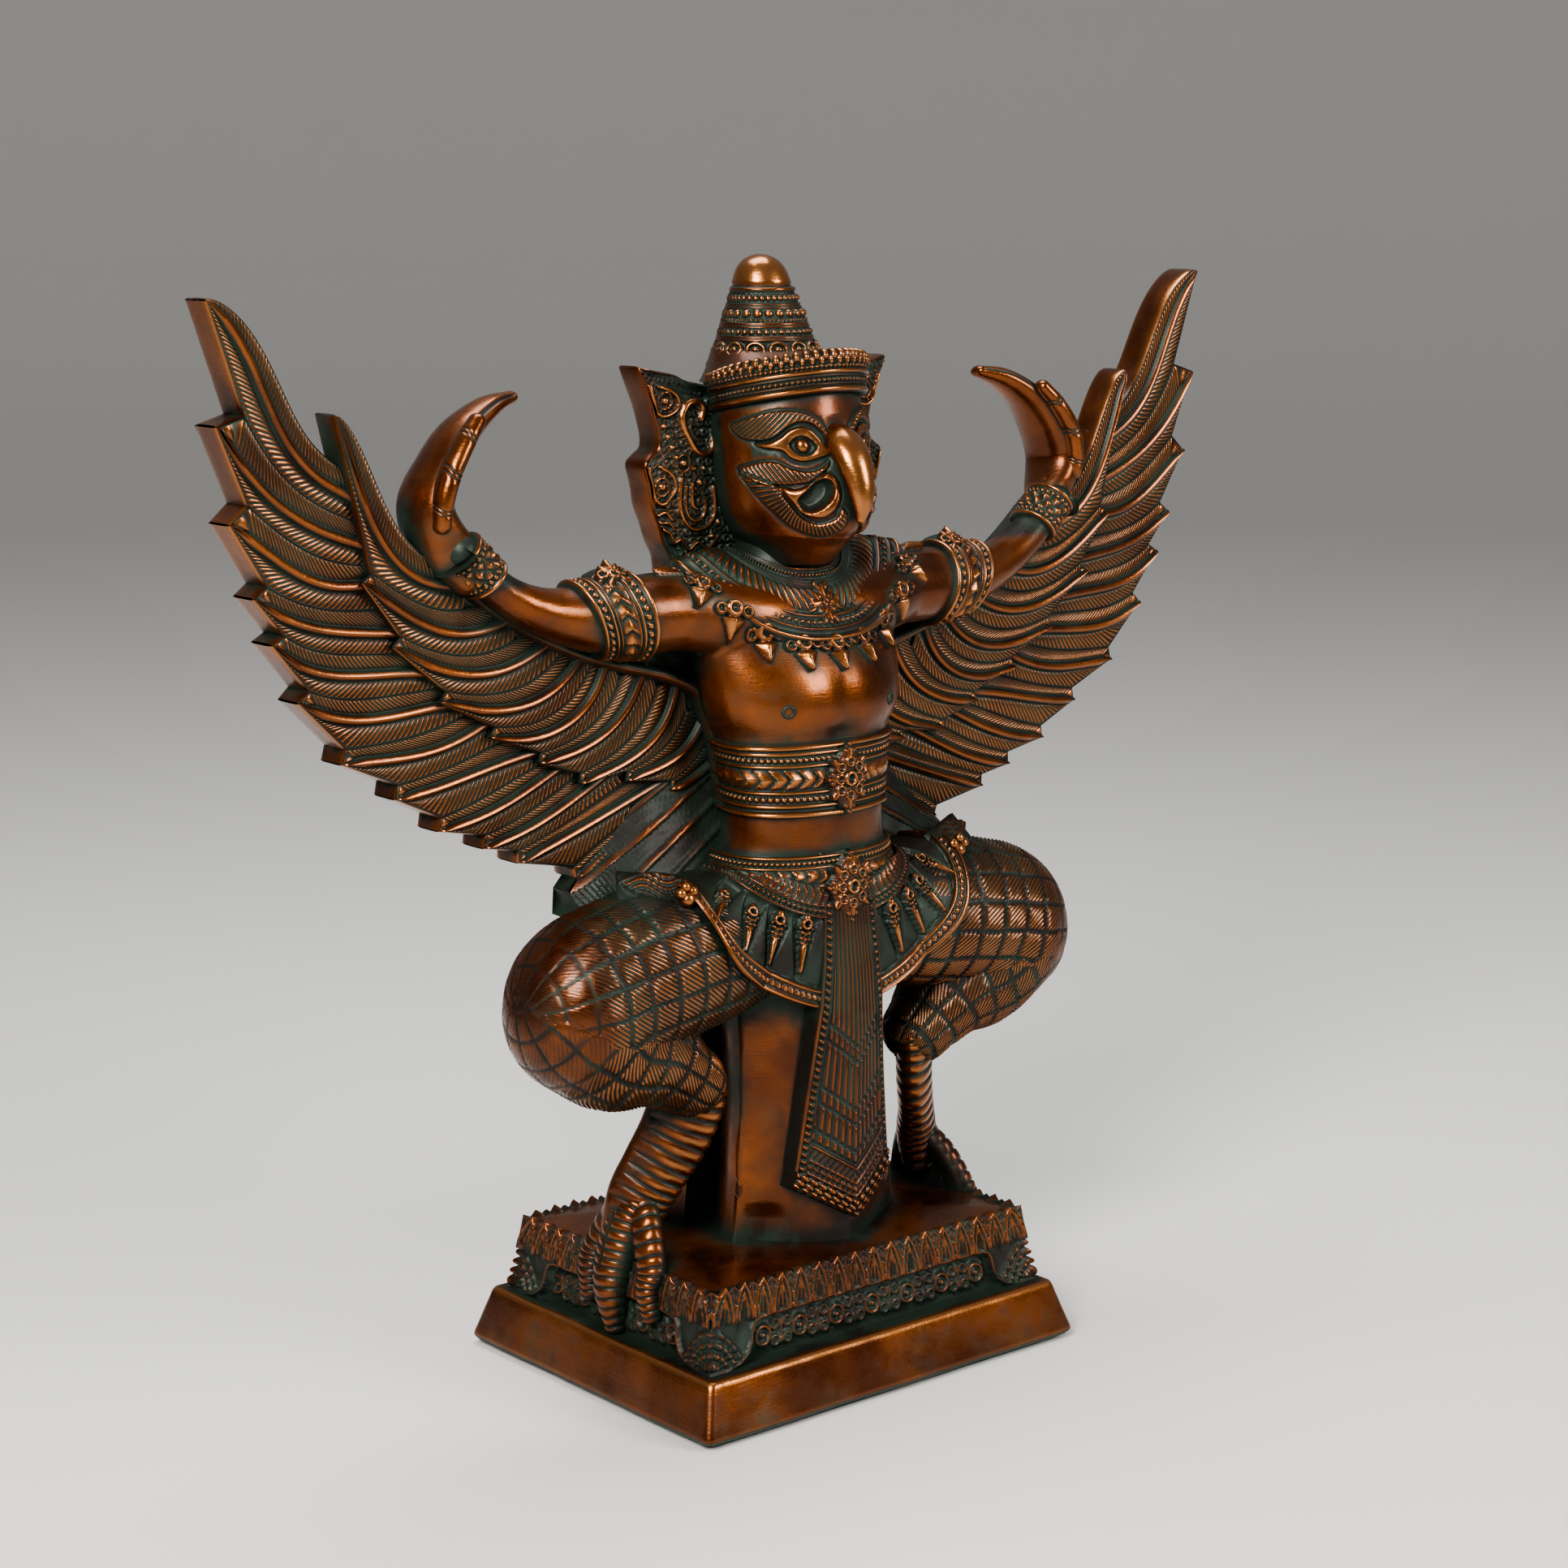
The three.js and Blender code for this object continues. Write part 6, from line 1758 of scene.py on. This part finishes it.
band_middle = -6.2
band_foot = 313.4
band_sweep = 5.5  # how much higher the band stands in front
crown = Casting()
turn = all_round(560, -np.pi)[None, :]
front = np.maximum(np.cos(turn), -0.4)
length = 25.6 * np.abs(turn)
lift = np.linspace(-0.6, 12.2, 66)[:, None]
out = cords(lift, ((0.9, 1.0, 1.4), (2.45, 0.4, 0.9), (5.0, 0.4, 0.9), (6.35, 0.95, 1.5)))
for row, shift, radius, pitch, rise in ((3.7, 0, 0.85, 1.75, 1.2), (8.0, 0, 0.85, 1.6, 1.3),
                                        (9.6, 0, 1.1, 3.2, 1.9), (10.9, 1.6, 1.35, 3.2, 1.9)):
    out = np.maximum(out, rise * beads(lift - row, length + shift, radius, pitch))
profile = np.interp(lift, [-0.6, 0, 7, 9, 11.0, 11.9, 12.2], [-3.5, 0.5, 0.7, 0.9, 0.2, -2.2, -4])
radius = 24.4 + profile
band_z = band_foot + np.minimum(lift, 11.4) + band_sweep * front
band = places_at(radius * np.sin(turn), band_middle - radius * np.cos(turn), band_z)
cut = 0.45 + 0.55 * np.clip(np.cos(turn) + 0.8, 0, 1)
crown.add(carved(band, out * cut, ring=True), np.clip(0.05 + out * 0.6, 0, 1), ring=True)

brim_share = np.linspace(0, 1, 22)[:, None]
brim = 23.6 + 3.8 * np.clip(0.3 - np.cos(turn), 0, 1)
outer = places_at(brim * np.sin(turn), band_middle - brim * np.cos(turn), 322.6 + band_sweep * front)
inner = places_at(17.2 * np.sin(turn), 3.7 - 17.2 * np.cos(turn), 330.5)
sag = [0, 0, -1.2] * np.sin(np.pi * brim_share)[..., None]
crown.add(outer + (inner - outer) * brim_share[..., None] + sag, 0.5, ring=True, toward=(0, 0, 1))

cone_height = np.concatenate([np.arange(325, 350.4, 0.3),
                              350.5 + 9.5 * np.sin(np.linspace(0, np.pi / 2, 30))])
cone_radius = np.interp(cone_height, [325, 326, 328, 331, 334, 338, 341, 345, 350.4],
                        [19.2, 18.8, 17.7, 16.2, 15.2, 13.9, 12.8, 11.3, 9.6])
cap = np.clip((cone_height - 350.5) / 9.5, 0, 1)
cap_radius = 9.7 * (1 - 0.3 * cap) * np.sqrt(np.clip(1 - cap**4, 0, 1))
cone_radius = np.where(cap > 0, cap_radius, cone_radius)[:, None]
up = cone_height[:, None]
middle = 3.4 + 2.8 * (up - 325) / 35
cone = places_at(cone_radius * np.sin(turn), middle - cone_radius * np.cos(turn), up)
length = cone_radius.mean() * np.abs(turn)
cut = 0.35 + 0.65 * np.clip(np.cos(turn) * 1.3 + 0.55, 0, 1)
out = cords(up, ((349.1, 0.65, 0.8), (344.4, 0.4, 0.6), (343.5, 0.4, 0.6), (338.5, 0.45, 0.7),
                 (337.5, 0.45, 0.7), (334.4, 0.45, 0.7), (333.5, 0.45, 0.7)))
for row, stretch, radius, pitch, rise in ((346.4, 1, 1.0, 2.1, 1.0), (335.95, 1, 0.85, 1.9, 1.0),
                                          (339.6, 1, 0.55, 1.3, 0.8), (341.7, 1.1, 1.4, 3.3, 1.3)):
    out = np.maximum(out, rise * beads((up - row) * stretch, length, radius, pitch))
flower_step = past_mark(length, 5.2)
flower = np.hypot(flower_step, up - 330.6)
between_flowers = np.hypot(np.abs(flower_step) - 2.3, up - 328.2)
out = highest(out, 1.3 * dome(flower, 1.0), 1.2 * dome(flower - 1.9, 0.5), dome(between_flowers, 0.9))
groove = 0.7 * np.clip(1 - np.abs(up - 350.35) / 0.4, 0, 1)
worn = np.clip(np.where(up > 350.4, 0.9, 0.15 + out * 0.8), 0, 1) * np.ones_like(turn)
crown.add(carved(cone, out * cut - groove, ring=True), worn, ring=True)
crown.cast("crown", brass, keep=0.38)

# The ear plates
# Thick plates with plain filed sides that end in a flame over each shoulder. Their fronts carry an ear,
# ring-centred leaves and scrolls, cast in low relief.

ground = -0.6
plate_edge = [(36.5, 254), (38.0, 262), (38.9, 267), (41.4, 271.5), (43.3, 277.1), (45.7, 282.7),
              (46.8, 289),
              (48.5, 295.6), (46.4, 298.2), (43.2, 300.6), (42.8, 304.2), (43.7, 308.1), (45.6, 314.3),
              (48.3, 320.5),
              (50.6, 326.0)]
plate_scrolls = [  # places across and up, then half-width and rise
    ([(47.3, 320.5), (45.4, 315.2), (44.6, 312.3), (41.5, 310.9), (37.1, 312.6), (35.8, 315.4),
      (38.6, 318.4),
      (43.6, 320.2)], 0.75, 1.2),
    ([(27.2, 309.6), (26.4, 312.6), (28.6, 314.9), (32.6, 314.3), (34.9, 310.7), (34.1, 306.8),
      (32.2, 303.6),
      (29.7, 300), (25.7, 298.4), (23, 300), (22.2, 303.1)], 1.3, 1.9),
    ([(30.6, 309.6), (31.2, 306.4), (29.0, 303.4), (26.2, 302.6)], 0.7, 0.9),
    ([(48, 295.2), (46.9, 290.5), (45.4, 285.4), (42.2, 283.6), (38.3, 286.9), (37.3, 289.5), (39.2, 292.8),
      (43.6, 295.4)], 0.75, 1.2),
    ([(35.3, 291.3), (35.8, 283.6), (34.4, 278.4), (30.4, 274.9), (24.4, 276), (21.8, 280.3),
      (22.3, 287.9)], 0.8, 1.3),
    ([(33.2, 288.7), (33.4, 281.9), (31.4, 278.2), (27.4, 277.9), (25.5, 281.4), (25.4, 284.5)], 0.65, 1.1),
    ([(30.9, 289.5), (30.8, 283), (28.8, 281.2)], 0.7, 1.3),
    ([(42.8, 275.9), (39.6, 274.0), (38.4, 271.2), (35.4, 272.1), (32.4, 268.8), (28.9, 270.8),
      (24.9, 268.6),
      (20.4, 272.3)], 0.8, 1.2),
    ([(38.6, 266.0), (34.4, 265.0), (31.2, 262.6), (27.2, 264.4), (22.5, 262.2)], 0.7, 1.0),
    ([(44.6, 280.2), (41.6, 281.0), (38.8, 278.4)], 0.7, 1.1),
    ([(43.2, 277.8), (40.2, 277.6), (37.8, 275.2)], 0.6, 1.0),
]
plate_knobs = [(41.3, 315.7, 1.5), (34.2, 296, 1.5), (42.7, 289, 1.6), (27.8, 289.6, 1.3),
               (20.6, 276.6, 1.3),
               (23.0, 272.4, 1.1), (42.0, 307.9, 1.1), (40.6, 304.6, 1.2), (39.0, 301.2, 1.1),
               (37.4, 298.0, 1.1),
               (30.2, 294.2, 1.0), (26.4, 294.0, 1.0), (19.4, 283.5, 1.0), (19.6, 288.5, 1.0)]


def plate_front(across, up):
    """The height of an ear plate's relief over its sunk ground."""
    height = np.full(np.shape(across), ground)
    for places, half, rise in plate_scrolls:
        scroll = dome(distance_to(rounded(places), across, up), half * 1.1)
        height = np.maximum(height, ground + (rise - ground) * scroll)
    for x, z, radius in plate_knobs:
        reach = np.hypot(across - x, up - z)
        height = np.maximum(height, ground + 2.3 * dome(reach, radius))
        if radius > 1.25:
            height = np.maximum(height, ground + 1.5 * dome(reach - radius * 1.75, 0.5))
    flame = distance_to(plate_edge, across, up)
    along_edge = (up * 0.94 + across * 0.36) / 1.9
    leafy = np.clip(1 - np.abs(flame - 2.1) / 1.9, 0, 1) ** 0.5 * strokes(along_edge - flame * 0.35)
    below_top = 319.5 + (across - 25) * 0.25 - up
    under_top = np.clip(1 - np.abs(below_top - 1.6) / 2.0, 0, 1) ** 0.5
    hatch = under_top * strokes((across - below_top * 0.6) / 1.7)
    height = np.maximum(height, ground + 1.5 * np.maximum(leafy * (up > 283), hatch * (across > 26)))
    row = np.floor(up / 3.1)
    curl = np.hypot(((across / 3.4 + row * 0.5) % 1 - 0.5) * 3.4, (up / 3.1 - row - 0.5) * 3.1)
    curls = np.maximum(dome(curl - 1.05, 0.5), 0.6 * dome(curl, 0.5))
    height = np.where((height < -0.3) & (flame > 3.2) & (up < 316), ground + 1.3 * curls, height)
    rim = np.clip(1 - np.abs(flame - 0.35) / 0.5, 0, 1)
    return np.maximum(height, ground + 1.1 * rim)


ears = Casting()
edge = rounded(plate_edge, 250)
up_edge = edge[:, 1]
level = np.linspace(254.5, 325.8, 224)
outer_x = np.interp(level, up_edge, edge[:, 0])
column = np.linspace(0, 1, 96)
inner_x = np.interp(level, [318, 319.5, 321, 323.1, 324.2, 325.8], [9, 25, 31.5, 37, 43.8, 50.2])
across = inner_x[:, None] + (outer_x - inner_x)[:, None] * column[None, :]
up = np.broadcast_to(level[:, None], across.shape)
height = plate_front(across, up)
plate_y = 3.0
front = places_at(across, plate_y - height, up)
ears.both_sides(front, np.clip(0.1 + (height - ground) * 0.5, 0, 1), toward=(0, -1, 0))

top_edge = rounded([(50.6, 326), (43.8, 324.4), (37, 323.1), (32.1, 321), (25.1, 319.5), (16, 317)], 60)
outline = np.concatenate([edge, top_edge[1:]])
away = -square_to(outline)
depths, bulges, worn = np.array([  # how far back on the side, how far it swells there, and its wear
    (0.2, 0.0, 0.6), (0.6, 0.35, 0.75), (1.3, 0.6, 0.62), (3.5, 0.75, 0.5), (6, 0.75, 0.48),
    (8.5, 0.7, 0.5),
    (9.8, 0.55, 0.55), (10.6, 0.3, 0.7), (11.0, -0.3, 0.5),
]).T
wall = outline[:, None, :] + away[:, None, :] * bulges[None, :, None]
wall = places_at(wall[..., 0], plate_y + depths, wall[..., 1])
ears.both_sides(wall, worn[None, :], toward=places_at(away[:, 0], 0, away[:, 1])[:, None, :])
back = places_at(across[::6, ::8], plate_y + depths[-1], up[::6, ::8])
ears.both_sides(back, 0.45, toward=(0, 1, 0))
ears.cast("ear_plates", brass)

low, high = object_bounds()
